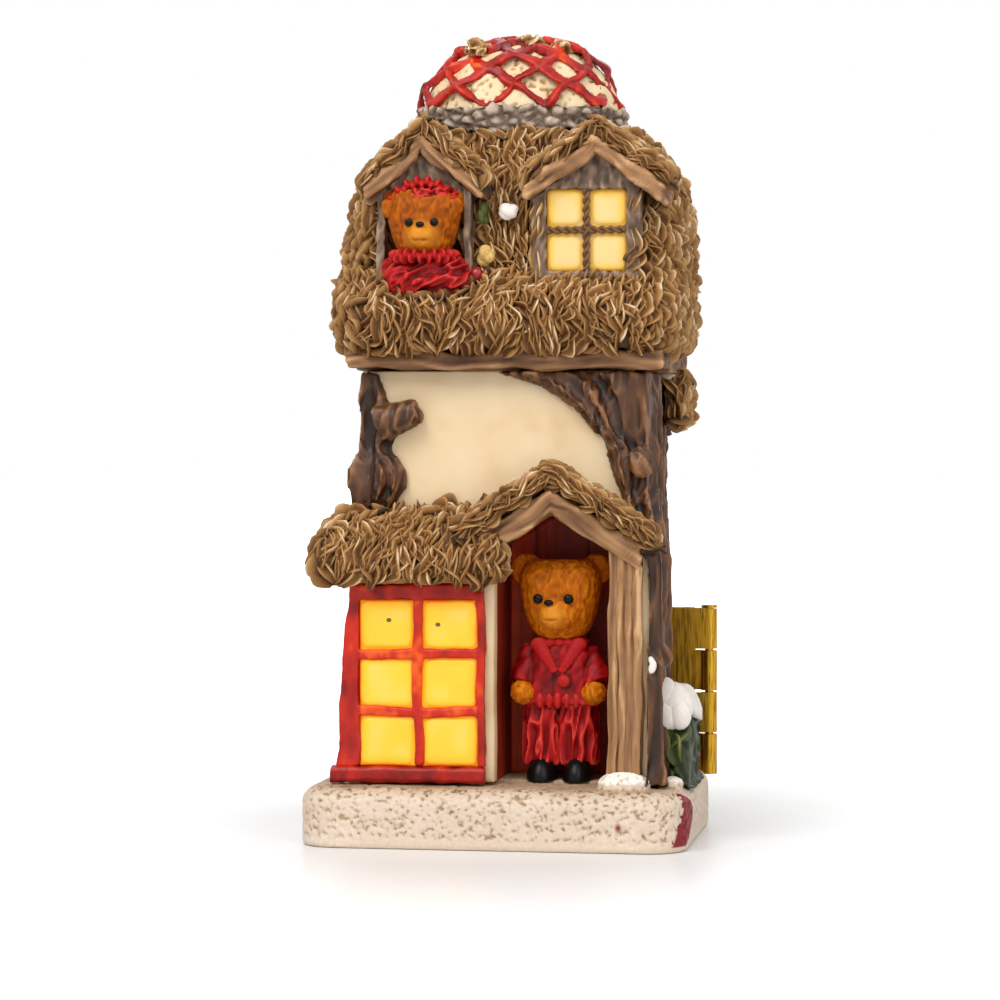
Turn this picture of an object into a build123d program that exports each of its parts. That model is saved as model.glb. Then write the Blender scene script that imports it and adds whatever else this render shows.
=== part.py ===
from build123d import *

import os
from functools import lru_cache
from math import cos, degrees, pi, radians, sin

# A small lighted Christmas village house of cast and painted resin: a shop built
# into a hollow tree, with thatched roofs, two bears, lit windows and a rear hatch
# on a brass hinge. Millimetres, +Z up, the front faces -Y, and the origin is the
# middle of the base's underside.

# Common clearances
overrun = 2.0
glue_gap = 0.1
moving_gap = 0.4
pin_clearance = 0.05

# Snow base
base_width = 66.4
base_front = 26.0
base_back = 23.4
base_height = 10.7
base_corner = 7.0
base_top_round = 3.6
base_foot_round = 0.8
plinth_height = 1.2
drift_height = 2.6
drift_width = 9.0
drift_depth = 5.0

# House shell
wall = 3.0
house_right = 24.0
house_left = 22.5
bay_left = 24.0
jamb_right = 27.0
jamb_depth = 6.5
shop_front = 18.5
sign_front = 15.0
shop_storey = 39.3
sign_storey = 31.0

# Doorway and its lining
doorway_centre = 10.0
doorway_width = 20.0
doorway_spring = 40.3
doorway_rise = 6.2
lining_depth = 14.0
lining_wall = 1.6
plank_groove = 0.4
plank_count = 5

# Shop window
window_centre = -12.8
window_width = 20.4
window_height = 28.2
window_sill_height = 3.0
window_lap = 1.2
frame_depth = 2.0
frame_top_rail = 2.5
frame_left_stile = 1.8
frame_right_stile = 1.2
frame_flare = 2.4
muntin_width = 1.4
pane_thickness = 1.3
pane_bulge = 0.45
pane_corner = 1.6
sill_depth = 2.8
sill_reach = 1.0
sill_round = 0.9
window_columns = 2
window_rows = 3

# Porch
post_width = 5.2
post_depth = 2.2
post_groove = 0.45
post_groove_count = 3
porch_front = 21.2
porch_board_height = 3.8
porch_half_span = 15.4
porch_thatch_height = 4.3
porch_thatch_half_span = 17.4
porch_thatch_front = 22.4
porch_thatch_round = 1.2

# Bay thatch over the shop window
bay_thatch_left = 30.6
bay_thatch_front = 24.4
bay_thatch_drop = 5.6
bay_thatch_rise = 8.4
bay_thatch_right = 2.0

# Tree trunks
right_trunk_thickness = 3.0
left_trunk_thickness = 2.2
bark_lobe_share = 0.5
bark_edge_share = 0.35
bark_back_share = 0.4
bark_sway_share = 0.4
trunk_lap_share = 0.6
bark_front_ridges = 8
bark_side_ridges = 22
branch_radius = 2.2
branch_length = 7.2
branch_rise = 2.6
branch_root_share = 1.6
branch_height_share = 0.7
knot_radius = 2.4
knot_height = 1.3
knot_long_share = 1.2
low_knot_rise = 21.8
low_knot_share = 0.8

# Eave plate
plate_height = 3.6
plate_front = 19.6
plate_back = 22.4
plate_left = 25.2
plate_right = 28.6
plate_round = 1.1

# Thatched main roof and the thatch along its eave
roof_left = 28.3
roof_right = 30.6
roof_front = 16.8
roof_back = 22.6
roof_height = 24.5
roof_corner = 9.0
eave_thatch_front = 22.4
eave_thatch_back = 23.2
eave_thatch_height = 13.4
roof_cavity_height = 26.0
roof_cavity_left = 15.0
roof_cavity_right = 24.4
roof_cavity_front = 7.5
roof_cavity_back = 12.0

# Dormers
dormer_front = 19.2
dormer_back = 6.0
dormer_floor = 11.6
dormer_eave = 25.2
dormer_board_height = 2.2
dormer_board_depth = 1.6
dormer_thatch_height = 3.4
dormer_thatch_reach = 1.0
dormer_thatch_front = 21.2
dormer_thatch_round = 0.9
left_dormer_centre = -12.0
left_dormer_half_span = 9.8
left_dormer_half_width = 8.2
left_dormer_rise = 8.6
right_dormer_centre = 17.6
right_front_centre = 15.8
right_dormer_half_span = 11.6
right_dormer_half_width = 9.3
right_dormer_rise = 8.0
dormer_wall = 1.4
dormer_window_width = 13.6
dormer_window_height = 13.8
dormer_window_sill = 1.6
dormer_pane_thickness = 1.2
dormer_pane_bulge = 0.4
dormer_muntin = 1.3
dormer_window_columns = 2
dormer_window_rows = 2
bear_window_width = 13.6
bear_window_height = 13.0
bear_recess_depth = 7.0

# Lattice crown
crown_centre = 1.5
crown_half_width = 17.8
crown_half_depth = 12.0
crown_back_shift = 2.4
crown_height = 16.6
stone_height = 4.4
stone_proud = 0.7
stone_count = 22
stone_joint = 0.5
lattice_strands = 10
lattice_thickness = 1.7
lattice_points = 6
lattice_turn = 105.0
tuft_half_width = 7.0
tuft_half_depth = 4.6
tuft_height = 1.3
tuft_sink = 0.6

# Side hood on the right wall
hood_front = 6.0
hood_depth = 15.0
hood_height = 9.6
hood_reach = 2.6

# Shop bear
bear_x = 10.2
bear_y = -9.0
bear_shoe_height = 4.2
bear_shoe_length = 7.4
bear_shoe_width = 5.4
bear_leg_height = 9.2
bear_leg_width = 6.2
bear_leg_depth = 6.4
bear_leg_spread = 3.1
bear_jacket_height = 11.0
bear_jacket_width = 12.6
bear_jacket_depth = 8.6
bear_head_height = 13.4
bear_head_width = 14.0
bear_head_depth = 10.4
bear_ear_radius = 2.7
bear_ear_depth = 2.6
bear_muzzle_radius = 3.2
bear_arm_radius = 2.0
bear_paw_radius = 2.1

# Window bear
pyjama_height = 6.6
pyjama_width = 15.6
pyjama_depth = 5.4
cub_head_height = 11.6
cub_head_width = 12.6
cub_head_depth = 9.2
cub_ear_radius = 2.0
cub_cap_height = 1.8

# Shrub along the right wall
shrub_width = 8.4
shrub_depth = 27.0
shrub_height = 15.4
shrub_sink = 2.4
shrub_y = -1.0
shrub_x = 29.0
shrub_snow_height = 5.2
shrub_snow_tilt = 24.0
shrub_corner_share = 0.8

# Brass hinge
hinge_length = 30.4
hinge_bottom = 8.2
hinge_axis_x = 32.5
knuckle_radius = 1.45
knuckle_count = 4
knuckle_gap = 0.35
hinge_pin_radius = 0.75
pin_head_height = 0.5
leaf_thickness = 0.7
leaf_width = 11.4
leaf_slot = 1.3
screw_head_radius = 1.5
screw_shank_radius = 0.7
screw_length = 1.6
screw_inset = 2.6
screw_end_inset = 5.0

# Rear hatch
door_left = 22.0
door_thickness = 4.6
door_round = 1.0
door_rib = 0.8
door_rib_count = 5
door_opening_left = 18.8
door_opening_right = 19.6
door_opening_height = 24.6
finger_notch_radius = 4.0
finger_notch_depth = 1.8
finger_notch_share = 0.8
magnet_radius = 1.4
magnet_length = 1.8
magnet_inset = 1.7

# Battery case
case_width = 34.0
case_height = 22.6
case_depth = 9.8
case_wall = 1.2
case_left = 17.6
case_back_gap = 3.2
lid_thickness = 1.4
cell_radius = 10.0
cell_thickness = 3.2
cell_count = 2
cell_clearance = 0.2
contact_thickness = 0.3
contact_width = 6.0
lid_screw_radius = 0.9
lid_screw_head = 1.6
lid_screw_length = 5.0
switch_width = 8.6
switch_height = 4.4
switch_depth = 4.6
switch_travel = 2.0
knob_width = 2.2
knob_height = 1.8
knob_proud = 1.3
knob_root = 0.6

# Lamps
board_thickness = 1.2
board_width = 22.0
board_height = 8.0
led_radius = 2.5
led_body = 6.0
led_flange_radius = 2.9
led_flange = 1.0
led_pitch = 10.0
upper_board_width = 11.0
upper_board_height = 12.0
upper_led_height = 103.0
lead_radius = 0.6
lead_pitch = 3.0
lead_offset = 2.2
lead_bend_shares = (0.22, 0.46, 0.72)
lead_arc_share = 0.45

# Heights and planes that the pieces share
floor_z = base_height
step_z = floor_z + shop_storey
eave_z = step_z + sign_storey
plate_z = eave_z + plate_height
roof_z = plate_z + eave_thatch_height
crown_z = roof_z + roof_height
house_back = base_back
sign_y = -sign_front
shop_y = -shop_front
doorway_left = doorway_centre - doorway_width / 2
doorway_right = doorway_centre + doorway_width / 2
cavity_front = sign_y + wall
lining_back = sign_y + lining_depth
hinge_axis_y = house_back + knuckle_radius
hinge_top = hinge_bottom + hinge_length
door_front = house_back + moving_gap
door_back = door_front + door_thickness
door_leaf_face = hinge_axis_y + knuckle_radius
case_back = house_back - case_back_gap
case_front = case_back - case_depth
case_bottom = floor_z + plinth_height


def block(x0, x1, y0, y1, z0, z1):
    """A box between six planes."""
    middle = Pos((x0 + x1) / 2, (y0 + y1) / 2, (z0 + z1) / 2)
    return middle * Box(x1 - x0, y1 - y0, z1 - z0)


def front_prism(outline, y0, y1):
    """An outline of (x, z) points, extruded from plane y0 back to plane y1."""
    face = make_face(Polyline([(x, y0, z) for x, z in outline], close=True))
    return extrude(face, amount=y1 - y0, dir=(0, 1, 0))


def side_prism(wire, length):
    """A closed wire in a plane of constant x, extruded along +X."""
    return extrude(make_face(wire), amount=length, dir=(1, 0, 0))


def stacked_loft(levels):
    """A smooth loft through rounded rectangles: x0, x1, y0, y1, z and corner radius."""
    sections = []
    for x0, x1, y0, y1, z, corner in levels:
        plan = RectangleRounded(x1 - x0, y1 - y0, corner)
        sections.append(Pos((x0 + x1) / 2, (y0 + y1) / 2, z) * plan)
    return loft(sections)


def ellipsoid(x, y, z, rx, ry, rz):
    """An ellipsoid with its middle at x, y, z."""
    return Pos(x, y, z) * scale(Sphere(1), by=(rx, ry, rz))


def along_y(radius, x, z, y0, y1):
    """A round bar from plane y0 to plane y1."""
    bar = Cylinder(radius, y1 - y0, rotation=(90, 0, 0))
    return Pos(x, (y0 + y1) / 2, z) * bar


def gable_band(centre, half_span, spring_z, rise, height):
    """The (x, z) outline of an inverted V of even height, by its lower edge."""
    slope = rise / half_span
    foot = spring_z
    return [
        (centre - half_span, foot),
        (centre, foot + slope * half_span),
        (centre + half_span, foot),
        (centre + half_span, foot + height),
        (centre, foot + slope * half_span + height),
        (centre - half_span, foot + height),
    ]


def doorway_outline(grow):
    """The doorway's pointed outline, grown by a margin on every side but the floor."""
    spring = floor_z + doorway_spring
    return [
        (doorway_left - grow, floor_z),
        (doorway_left - grow, spring + grow / 2),
        (doorway_centre, spring + doorway_rise + grow),
        (doorway_right + grow, spring + grow / 2),
        (doorway_right + grow, floor_z),
    ]


@lru_cache
def house_envelope():
    """The filled outer shape of the house walls."""
    lower = block(-bay_left, house_right, shop_y, house_back, floor_z, step_z)
    jamb = block(house_right, jamb_right, shop_y, shop_y + jamb_depth, floor_z, step_z)
    upper = block(-house_left, house_right, sign_y, house_back, step_z, eave_z)
    return lower + jamb + upper


@lru_cache
def make_snow_base():
    """The snowy base: a rounded slab with a locating plinth and two drifts."""
    depth = base_front + base_back
    plan = Pos(0, (base_back - base_front) / 2) * RectangleRounded(base_width, depth, base_corner)
    slab = extrude(plan, base_height)
    slab = fillet(slab.faces().sort_by(Axis.Z)[-1].edges(), base_top_round)
    slab = fillet(slab.faces().sort_by(Axis.Z)[0].edges(), base_foot_round)
    plinth = block(
        -house_left + wall + glue_gap,
        house_right - wall - glue_gap,
        lining_back + lining_wall + glue_gap,
        house_back - wall - glue_gap,
        floor_z,
        floor_z + plinth_height,
    )
    drift_x = jamb_right - drift_width / 2
    drift_y = shop_y - drift_depth / 3
    drift = ellipsoid(drift_x, drift_y, floor_z, drift_width / 2, drift_depth / 2, drift_height)
    side_x = base_width / 2 - base_top_round
    half = drift_depth / 2
    side = ellipsoid(side_x, drift_y + drift_depth, floor_z, half, half, drift_height / 2)
    drifts = (drift + side) - house_envelope() - porch_post_blank() - right_trunk_blank()
    drifts = drifts - block(-base_width, base_width, -base_width, base_width, -floor_z, 0)
    return slab + plinth + drifts


def make_house_shell():
    """The hollow walls, with the doorway, the shop window and the rear opening."""
    shell = house_envelope()
    shell -= block(
        -house_left + wall,
        house_right - wall,
        cavity_front,
        house_back - wall,
        floor_z - overrun,
        eave_z + overrun,
    )
    shell -= front_prism(doorway_outline(lining_wall + glue_gap), sign_y, lining_back + lining_wall)
    shell -= front_prism(doorway_outline(0), shop_y - overrun, sign_y + overrun)
    window_z = floor_z + window_sill_height
    shell -= block(
        window_centre - window_width / 2 + window_lap,
        window_centre + window_width / 2 - window_lap,
        shop_y - overrun,
        cavity_front + overrun,
        window_z + window_lap,
        window_z + window_height - window_lap,
    )
    shell -= block(
        -door_opening_left,
        door_opening_right,
        house_back - wall - overrun,
        house_back + overrun,
        floor_z + plinth_height,
        floor_z + plinth_height + door_opening_height,
    )
    shell -= magnet(house_back - magnet_length, house_back)
    shell -= screw_set(house_leaf_screw_y(), 1)
    return shell


def make_doorway_lining():
    """The dark plank lining of the doorway: two sides, a pointed ceiling and a back."""
    outer = front_prism(doorway_outline(lining_wall), sign_y, lining_back + lining_wall)
    lining = outer - front_prism(doorway_outline(0), sign_y - overrun, lining_back)
    plank = doorway_width / plank_count
    tall = floor_z + doorway_spring + doorway_rise
    for index in range(1, plank_count):
        x = doorway_left + index * plank
        groove = block(
            x - plank_groove / 2,
            x + plank_groove / 2,
            lining_back - plank_groove,
            lining_back + plank_groove,
            floor_z - overrun,
            tall + overrun,
        )
        lining -= groove
    return lining


def window_grid(centre, width, bottom, height, columns, rows, bar):
    """The (x0, x1, z0, z1) of each light between the bars of a window."""
    across = (width - (columns - 1) * bar) / columns
    up = (height - (rows - 1) * bar) / rows
    lights = []
    for column in range(columns):
        x0 = centre - width / 2 + column * (across + bar)
        for row in range(rows):
            z0 = bottom + row * (up + bar)
            lights.append((x0, x0 + across, z0, z0 + up))
    return lights


def shop_lights():
    """The six lights of the shop window."""
    return window_grid(
        window_centre,
        window_width,
        floor_z + window_sill_height,
        window_height,
        window_columns,
        window_rows,
        muntin_width,
    )


def pillow(x0, x1, z0, z1, y, bulge, corner, margin):
    """One softly domed light, standing proud of plane y towards the front."""
    x = (x0 + x1) / 2
    z = (z0 + z1) / 2
    turn = Rot(90, 0, 0)
    foot = RectangleRounded(x1 - x0 - 2 * margin, z1 - z0 - 2 * margin, corner)
    top = RectangleRounded(
        x1 - x0 - 2 * margin - 2 * bulge, z1 - z0 - 2 * margin - 2 * bulge, corner - bulge
    )
    return loft([Pos(x, y, z) * turn * foot, Pos(x, y - bulge, z) * turn * top])


def make_shop_panes():
    """The translucent window casting: one panel with six domed lights."""
    face_y = shop_y - pane_thickness
    bottom = floor_z + window_sill_height
    panes = block(
        window_centre - window_width / 2 + glue_gap,
        window_centre + window_width / 2 - glue_gap,
        face_y,
        shop_y,
        bottom + glue_gap,
        bottom + window_height - glue_gap,
    )
    for x0, x1, z0, z1 in shop_lights():
        panes += pillow(x0, x1, z0, z1, face_y, pane_bulge, pane_corner, glue_gap)
    return panes


@lru_cache
def make_shop_frame():
    """The red frame, wider at its foot, with its bars across the panes."""
    bottom = floor_z + window_sill_height
    top = bottom + window_height
    left = window_centre - window_width / 2
    right = window_centre + window_width / 2
    outline = [
        (left - frame_left_stile - frame_flare, bottom),
        (left - frame_left_stile, top + frame_top_rail),
        (right + frame_right_stile, top + frame_top_rail),
        (right + frame_right_stile, bottom),
    ]
    frame = front_prism(outline, shop_y - frame_depth, shop_y)
    frame -= block(left, right, shop_y - frame_depth - overrun, shop_y + overrun, bottom, top)
    bar_front = shop_y - frame_depth
    bar_back = shop_y - pane_thickness
    column = (window_width + muntin_width) / window_columns
    for index in range(1, window_columns):
        x = left - muntin_width + index * column
        frame += block(x, x + muntin_width, bar_front, bar_back, bottom, top)
    row = (window_height + muntin_width) / window_rows
    for index in range(1, window_rows):
        z = bottom - muntin_width + index * row
        frame += block(left, right, bar_front, bar_back, z, z + muntin_width)
    return frame


@lru_cache
def make_shop_sill():
    """The rounded red sill under the shop window."""
    left = window_centre - window_width / 2 - frame_left_stile - frame_flare - sill_reach
    right = window_centre + window_width / 2 + frame_right_stile
    sill = block(left, right, shop_y - sill_depth, shop_y, floor_z, floor_z + window_sill_height)
    edges = sill.edges().filter_by(Axis.X).sort_by(Axis.Y)[:2]
    return fillet(edges, sill_round)


def porch_spring():
    """The height of the porch boards' lower edge at their feet."""
    slope = doorway_rise / (doorway_width / 2)
    return floor_z + doorway_spring + doorway_rise - slope * porch_half_span


def porch_rise():
    """How far the porch boards rise from foot to ridge."""
    return doorway_rise / (doorway_width / 2) * porch_half_span


@lru_cache
def porch_boards_blank():
    """The porch's inverted V of boards before the walls are cut away."""
    outline = gable_band(doorway_centre, porch_half_span, porch_spring(), porch_rise(), porch_board_height)
    return front_prism(outline, -porch_front, sign_y)


@lru_cache
def porch_post_blank():
    """The right door post as a plain bar from the floor to the boards."""
    left = doorway_right
    top = floor_z + doorway_spring
    return block(left, left + post_width, shop_y - post_depth, shop_y, floor_z, top)


def make_porch_post():
    """The right door post with its long weather grooves."""
    post = porch_post_blank()
    step = post_width / (post_groove_count + 1)
    face = shop_y - post_depth
    for index in range(1, post_groove_count + 1):
        x = doorway_right + index * step
        tall = floor_z + doorway_spring
        half = post_groove / 2
        post -= block(x - half, x + half, face - overrun, face + post_groove, floor_z, tall)
    return post - porch_boards_blank()


def make_porch_boards():
    """The porch's gable boards, seated over the walls and the doorway."""
    return porch_boards_blank() - house_envelope()


@lru_cache
def porch_thatch_blank():
    """The porch's thatch above its boards, before the walls are cut away."""
    spring = porch_spring() + porch_board_height
    slope = porch_rise() / porch_half_span
    foot = spring - slope * (porch_thatch_half_span - porch_half_span)
    outline = gable_band(
        doorway_centre, porch_thatch_half_span, foot, slope * porch_thatch_half_span, porch_thatch_height
    )
    return front_prism(outline, -porch_thatch_front, sign_y)


def make_porch_thatch():
    """The porch's thatch with rounded verges."""
    thatch = porch_thatch_blank()
    verge = thatch.faces().sort_by(Axis.Y)[0].edges()
    thatch = fillet(verge, porch_thatch_round)
    return thatch - house_envelope() - porch_boards_blank()


def bay_thatch_profile(x):
    """The bay thatch's section at plane x: a soft overhang that leans on the wall."""
    low = step_z - bay_thatch_drop
    high = step_z + bay_thatch_rise
    reach = bay_thatch_front - sign_front
    tall = high - low
    lip_shares = [(0.86, 0.0), (0.99, 0.12), (0.98, 0.36), (0.72, 0.66), (0.34, 0.9), (0.0, 1.0)]
    lip = [(x, sign_y - out * reach, low + up * tall) for out, up in lip_shares]
    back = Polyline([lip[-1], (x, sign_y + wall, high), (x, sign_y + wall, low), lip[0]])
    return Wire([Spline(lip), *back.edges()])


def make_bay_thatch():
    """The thatch over the shop window, hipped at its left end."""
    right = doorway_left + bay_thatch_right
    length = bay_thatch_left + right
    body = side_prism(bay_thatch_profile(-bay_thatch_left), length)
    low = step_z - bay_thatch_drop
    tall = bay_thatch_drop + bay_thatch_rise
    hip_shares = [(0.16, 0.0), (0.01, 0.2), (0.0, 0.42), (0.1, 0.8), (0.24, 1.0)]
    hip = [(-bay_thatch_left + across * length, low + up * tall) for across, up in hip_shares]
    curve = Spline([(x, -bay_thatch_front - overrun, z) for x, z in hip])
    ends = [hip[-1], (right, hip[-1][1]), (right, hip[0][1]), hip[0]]
    rest = Polyline([(x, -bay_thatch_front - overrun, z) for x, z in ends])
    face = make_face(Wire([curve, *rest.edges()]))
    hipped = extrude(face, amount=bay_thatch_front + overrun + wall, dir=(0, 1, 0))
    thatch = body & hipped
    thatch = thatch - house_envelope() - porch_boards_blank() - porch_thatch_blank()
    thatch = thatch - make_shop_frame() - left_trunk_blank()
    return thatch.solids().sort_by(SortBy.VOLUME)[-1]


def trunk_section(corner_x, corner_y, front_x, back_x, side, thickness, z, phase):
    """A ridged bark outline round one front corner of the house.

    The line runs along the front wall from front_x to the corner, then along the side
    wall to back_x. side is 1 for the right wall and -1 for the left wall. The bark thins
    towards the back, and phase makes its ridges waver from one level to the next.
    """
    stations = []
    front_step = (corner_x - front_x) / bark_front_ridges
    for index in range(bark_front_ridges):
        stations.append((front_x + index * front_step, corner_y, 0, 1))
    stations.append((corner_x, corner_y, pi / 4, 1))
    side_step = (house_back - corner_y) / bark_side_ridges
    for index in range(1, bark_side_ridges + 1):
        share = index / bark_side_ridges
        thin = 1 - (1 - bark_back_share) * share
        x = corner_x + (back_x - corner_x) * share
        stations.append((x, corner_y + index * side_step, pi / 2, thin))
    outer = []
    for index, (x, y, turn, thin) in enumerate(stations):
        swell = 1 - bark_lobe_share * (index % 2) + bark_lobe_share * sin(index + phase) / 2
        sway = bark_sway_share * sin(index / 2 + 2 * phase)
        if index in (0, bark_front_ridges, len(stations) - 1):
            swell = 1 if index == bark_front_ridges else bark_edge_share
            sway = 0
        reach = thickness * swell * thin
        slide_x = sway * front_step if turn == 0 else 0
        slide_y = sway * side_step if turn == pi / 2 else 0
        outer.append((x + slide_x + side * sin(turn) * reach, y + slide_y - cos(turn) * reach, z))
    inside_x = back_x - side * wall / 2
    inside_y = corner_y + wall / 2
    inner = [(inside_x, house_back, z), (inside_x, inside_y, z), (front_x, inside_y, z)]
    return make_face(Polyline(outer + inner, close=True))


right_trunk_level_shares = [
    (0.0, -0.16, 1.0, 1.45, 0.0),
    (0.08, -0.16, 1.0, 1.15, 0.4),
    (0.2, -0.15, 1.0, 1.0, 0.9),
    (0.32, -0.16, 1.0, 1.05, 1.5),
    (0.44, -0.15, 1.0, 0.98, 2.0),
    (0.54, -0.12, 1.0, 1.0, 2.6),
    (0.62, 0.08, 0.5, 1.05, 3.1),
    (0.71, 0.22, 0.0, 1.08, 3.7),
    (0.83, 0.43, 0.0, 1.06, 4.2),
    (0.9, 0.72, 0.0, 1.05, 4.8),
    (0.96, 1.16, 0.0, 1.05, 5.3),
    (1.0, 1.77, 0.0, 1.05, 5.8),
]
left_trunk_level_shares = [
    (0.0, 0.04, 1.0, 1.3, 0.4),
    (0.14, 0.04, 1.0, 1.1, 0.8),
    (0.28, 0.04, 1.0, 1.05, 1.2),
    (0.42, 0.05, 1.0, 1.0, 1.6),
    (0.54, 0.06, 1.0, 1.1, 2.0),
    (0.66, 0.2, 0.4, 1.4, 2.4),
    (0.72, 0.31, 0.0, 2.1, 2.8),
    (0.76, 0.3, 0.0, 1.9, 3.2),
    (0.81, 0.2, 0.0, 1.1, 3.6),
    (0.86, 0.26, 0.0, 0.85, 4.0),
    (0.93, 0.16, 0.0, 1.0, 4.5),
    (1.0, 0.1, 0.0, 0.75, 5.0),
]


@lru_cache
def right_trunk_blank():
    """The right trunk's bark skin, thickest at its root, before its neighbours are cut away."""
    tall = eave_z - floor_z
    wall_run = house_right - doorway_centre
    sections = []
    for up, across, low, thick, phase in right_trunk_level_shares:
        front_x = house_right - across * wall_run
        corner_x = house_right + low * (jamb_right - house_right)
        corner_y = sign_y - low * (shop_front - sign_front) * trunk_lap_share
        thickness = right_trunk_thickness * thick
        z = floor_z + up * tall
        sections.append(trunk_section(corner_x, corner_y, front_x, house_right, 1, thickness, z, phase))
    return loft(sections, ruled=True)


@lru_cache
def left_trunk_blank():
    """The left trunk's bark skin before its neighbours are cut away."""
    tall = eave_z - floor_z
    wall_run = house_left + doorway_left
    sections = []
    for up, across, low, thick, phase in left_trunk_level_shares:
        front_x = -house_left + across * wall_run
        side_x = -house_left - low * (bay_left - house_left)
        thickness = left_trunk_thickness * thick
        z = floor_z + up * tall
        sections.append(trunk_section(side_x, sign_y, front_x, side_x, -1, thickness, z, phase))
    return loft(sections, ruled=True)


def make_right_trunk():
    """The right trunk with a knot on its shoulder and a smaller one beside the post."""
    knot = ellipsoid(
        house_right + knot_radius / 2,
        sign_y - right_trunk_thickness,
        step_z + sign_storey / 2,
        knot_radius,
        knot_height,
        knot_radius * knot_long_share,
    )
    small = knot_radius * low_knot_share
    low_knot = ellipsoid(
        jamb_right + right_trunk_thickness / 2,
        sign_y - small,
        floor_z + low_knot_rise,
        small,
        small,
        small * knot_long_share,
    )
    trunk = right_trunk_blank() + knot + low_knot
    trunk = trunk - house_envelope() - porch_boards_blank() - porch_thatch_blank() - porch_post_blank()
    return trunk.solids().sort_by(SortBy.VOLUME)[-1]


def make_left_trunk():
    """The left trunk with its sawn branch stub."""
    height = step_z + sign_storey * branch_height_share
    start = Vector(-house_left + branch_radius, sign_y - branch_radius / 2, height)
    along = Vector(branch_length, -branch_radius / 2, branch_rise)
    plane = Plane(origin=start, z_dir=along)
    root = plane * Circle(branch_radius * branch_root_share)
    tip = plane.offset(along.length) * Circle(branch_radius)
    branch = loft([root, tip])
    branch = fillet(branch.edges().sort_by(Axis.X)[-1], branch_radius / 4)
    trunk = left_trunk_blank() + branch
    trunk = trunk - house_envelope() - make_shop_frame() - make_shop_sill()
    return trunk.solids().sort_by(SortBy.VOLUME)[-1]


def make_eave_plate():
    """The timber plate between the walls and the thatch, open for the light."""
    plate = block(-plate_left, plate_right, -plate_front, plate_back, eave_z, plate_z)
    plate = fillet(plate.edges().filter_by(Axis.X).sort_by(Axis.Y)[:2], plate_round)
    opening = block(
        -roof_cavity_left,
        roof_cavity_right - wall,
        cavity_front,
        house_back - 2 * wall,
        eave_z - overrun,
        plate_z + overrun,
    )
    return plate - opening


roof_section_shares = [
    (0.0, 0.985, 0.99, 1.0, 1.0),
    (0.24, 0.97, 0.995, 0.96, 0.96),
    (0.48, 0.92, 0.98, 0.9, 0.88),
    (0.72, 0.84, 0.91, 0.78, 0.78),
    (0.9, 0.73, 0.8, 0.68, 0.71),
    (1.0, 0.62, 0.68, 0.62, 0.68),
]
eave_section_shares = [
    (0.0, 0.955, 0.95, 0.91, 0.95),
    (0.2, 0.99, 0.985, 0.99, 1.0),
    (0.55, 1.0, 1.0, 1.0, 1.0),
    (0.8, 0.995, 1.0, 0.91, 0.99),
    (1.0, 0.99, 0.995, 0.78, 0.98),
]


def thatch_levels(shares, front, back, low, tall):
    """The rounded rectangles that a thatched mass is lofted through."""
    levels = []
    for up, left, right, fore, aft in shares:
        x0 = -roof_left * left
        x1 = roof_right * right
        levels.append((x0, x1, -front * fore, back * aft, low + up * tall, roof_corner))
    return levels


@lru_cache
def roof_blank():
    """The main thatch above the eave as one soft, rounded mass."""
    return stacked_loft(thatch_levels(roof_section_shares, roof_front, roof_back, roof_z, roof_height))


@lru_cache
def eave_thatch_blank():
    """The thick thatch along the eave as one soft, rounded band."""
    front = eave_thatch_front
    back = eave_thatch_back
    return stacked_loft(thatch_levels(eave_section_shares, front, back, plate_z, eave_thatch_height))


def roof_cavity():
    """The hollow under the thatch, where the upper lamp sits."""
    return block(
        -roof_cavity_left,
        roof_cavity_right - wall,
        -roof_cavity_front,
        roof_cavity_back,
        plate_z - overrun,
        plate_z + roof_cavity_height,
    )


def make_eave_thatch():
    """The thatch along the eave, hollow for the light and dished for the bear's pyjamas."""
    return eave_thatch_blank() - roof_cavity() - window_bear_blank()


def make_roof_thatch():
    """The main thatch, hollow for the light, with a way out behind each dormer."""
    sill = plate_z + dormer_floor + dormer_window_sill
    light_way = block(
        right_front_centre - dormer_window_width / 2 + window_lap,
        right_front_centre + dormer_window_width / 2 - window_lap,
        -dormer_front,
        -roof_cavity_front + overrun,
        sill + window_lap,
        sill + dormer_window_height - window_lap,
    )
    recess = block(
        left_dormer_centre - bear_window_width / 2,
        left_dormer_centre + bear_window_width / 2,
        -dormer_front,
        -dormer_front + bear_recess_depth,
        sill,
        sill + bear_window_height,
    )
    return roof_blank() - roof_cavity() - light_way - recess - window_bear_blank()


def dormer_spring():
    """The height of a dormer's board feet."""
    return plate_z + dormer_eave


def dormer_frame_blank(centre, front_centre, half_width, half_span, rise):
    """A dormer's front under its gable, before the roof and its opening are cut away."""
    slope = rise / half_span
    spring = dormer_spring()
    left = front_centre - half_width
    right = front_centre + half_width
    floor = plate_z + dormer_floor
    outline = [
        (left, floor),
        (left, spring + slope * (half_span - abs(centre - left))),
        (centre, spring + rise),
        (right, spring + slope * (half_span - abs(right - centre))),
        (right, floor),
    ]
    return front_prism(outline, -dormer_front, -dormer_back)


@lru_cache
def left_dormer_front():
    """The bear's dormer front before its opening is cut."""
    return dormer_frame_blank(
        left_dormer_centre,
        left_dormer_centre,
        left_dormer_half_width,
        left_dormer_half_span,
        left_dormer_rise,
    )


@lru_cache
def right_dormer_front():
    """The lit dormer's front before its opening is cut."""
    return dormer_frame_blank(
        right_dormer_centre,
        right_front_centre,
        right_dormer_half_width,
        right_dormer_half_span,
        right_dormer_rise,
    )


def dormer_boards_blank(centre, half_span, rise):
    """A dormer's gable boards as a full-depth inverted V."""
    outline = gable_band(centre, half_span, dormer_spring(), rise, dormer_board_height)
    return front_prism(outline, -dormer_front - dormer_board_depth, -dormer_back)


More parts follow.
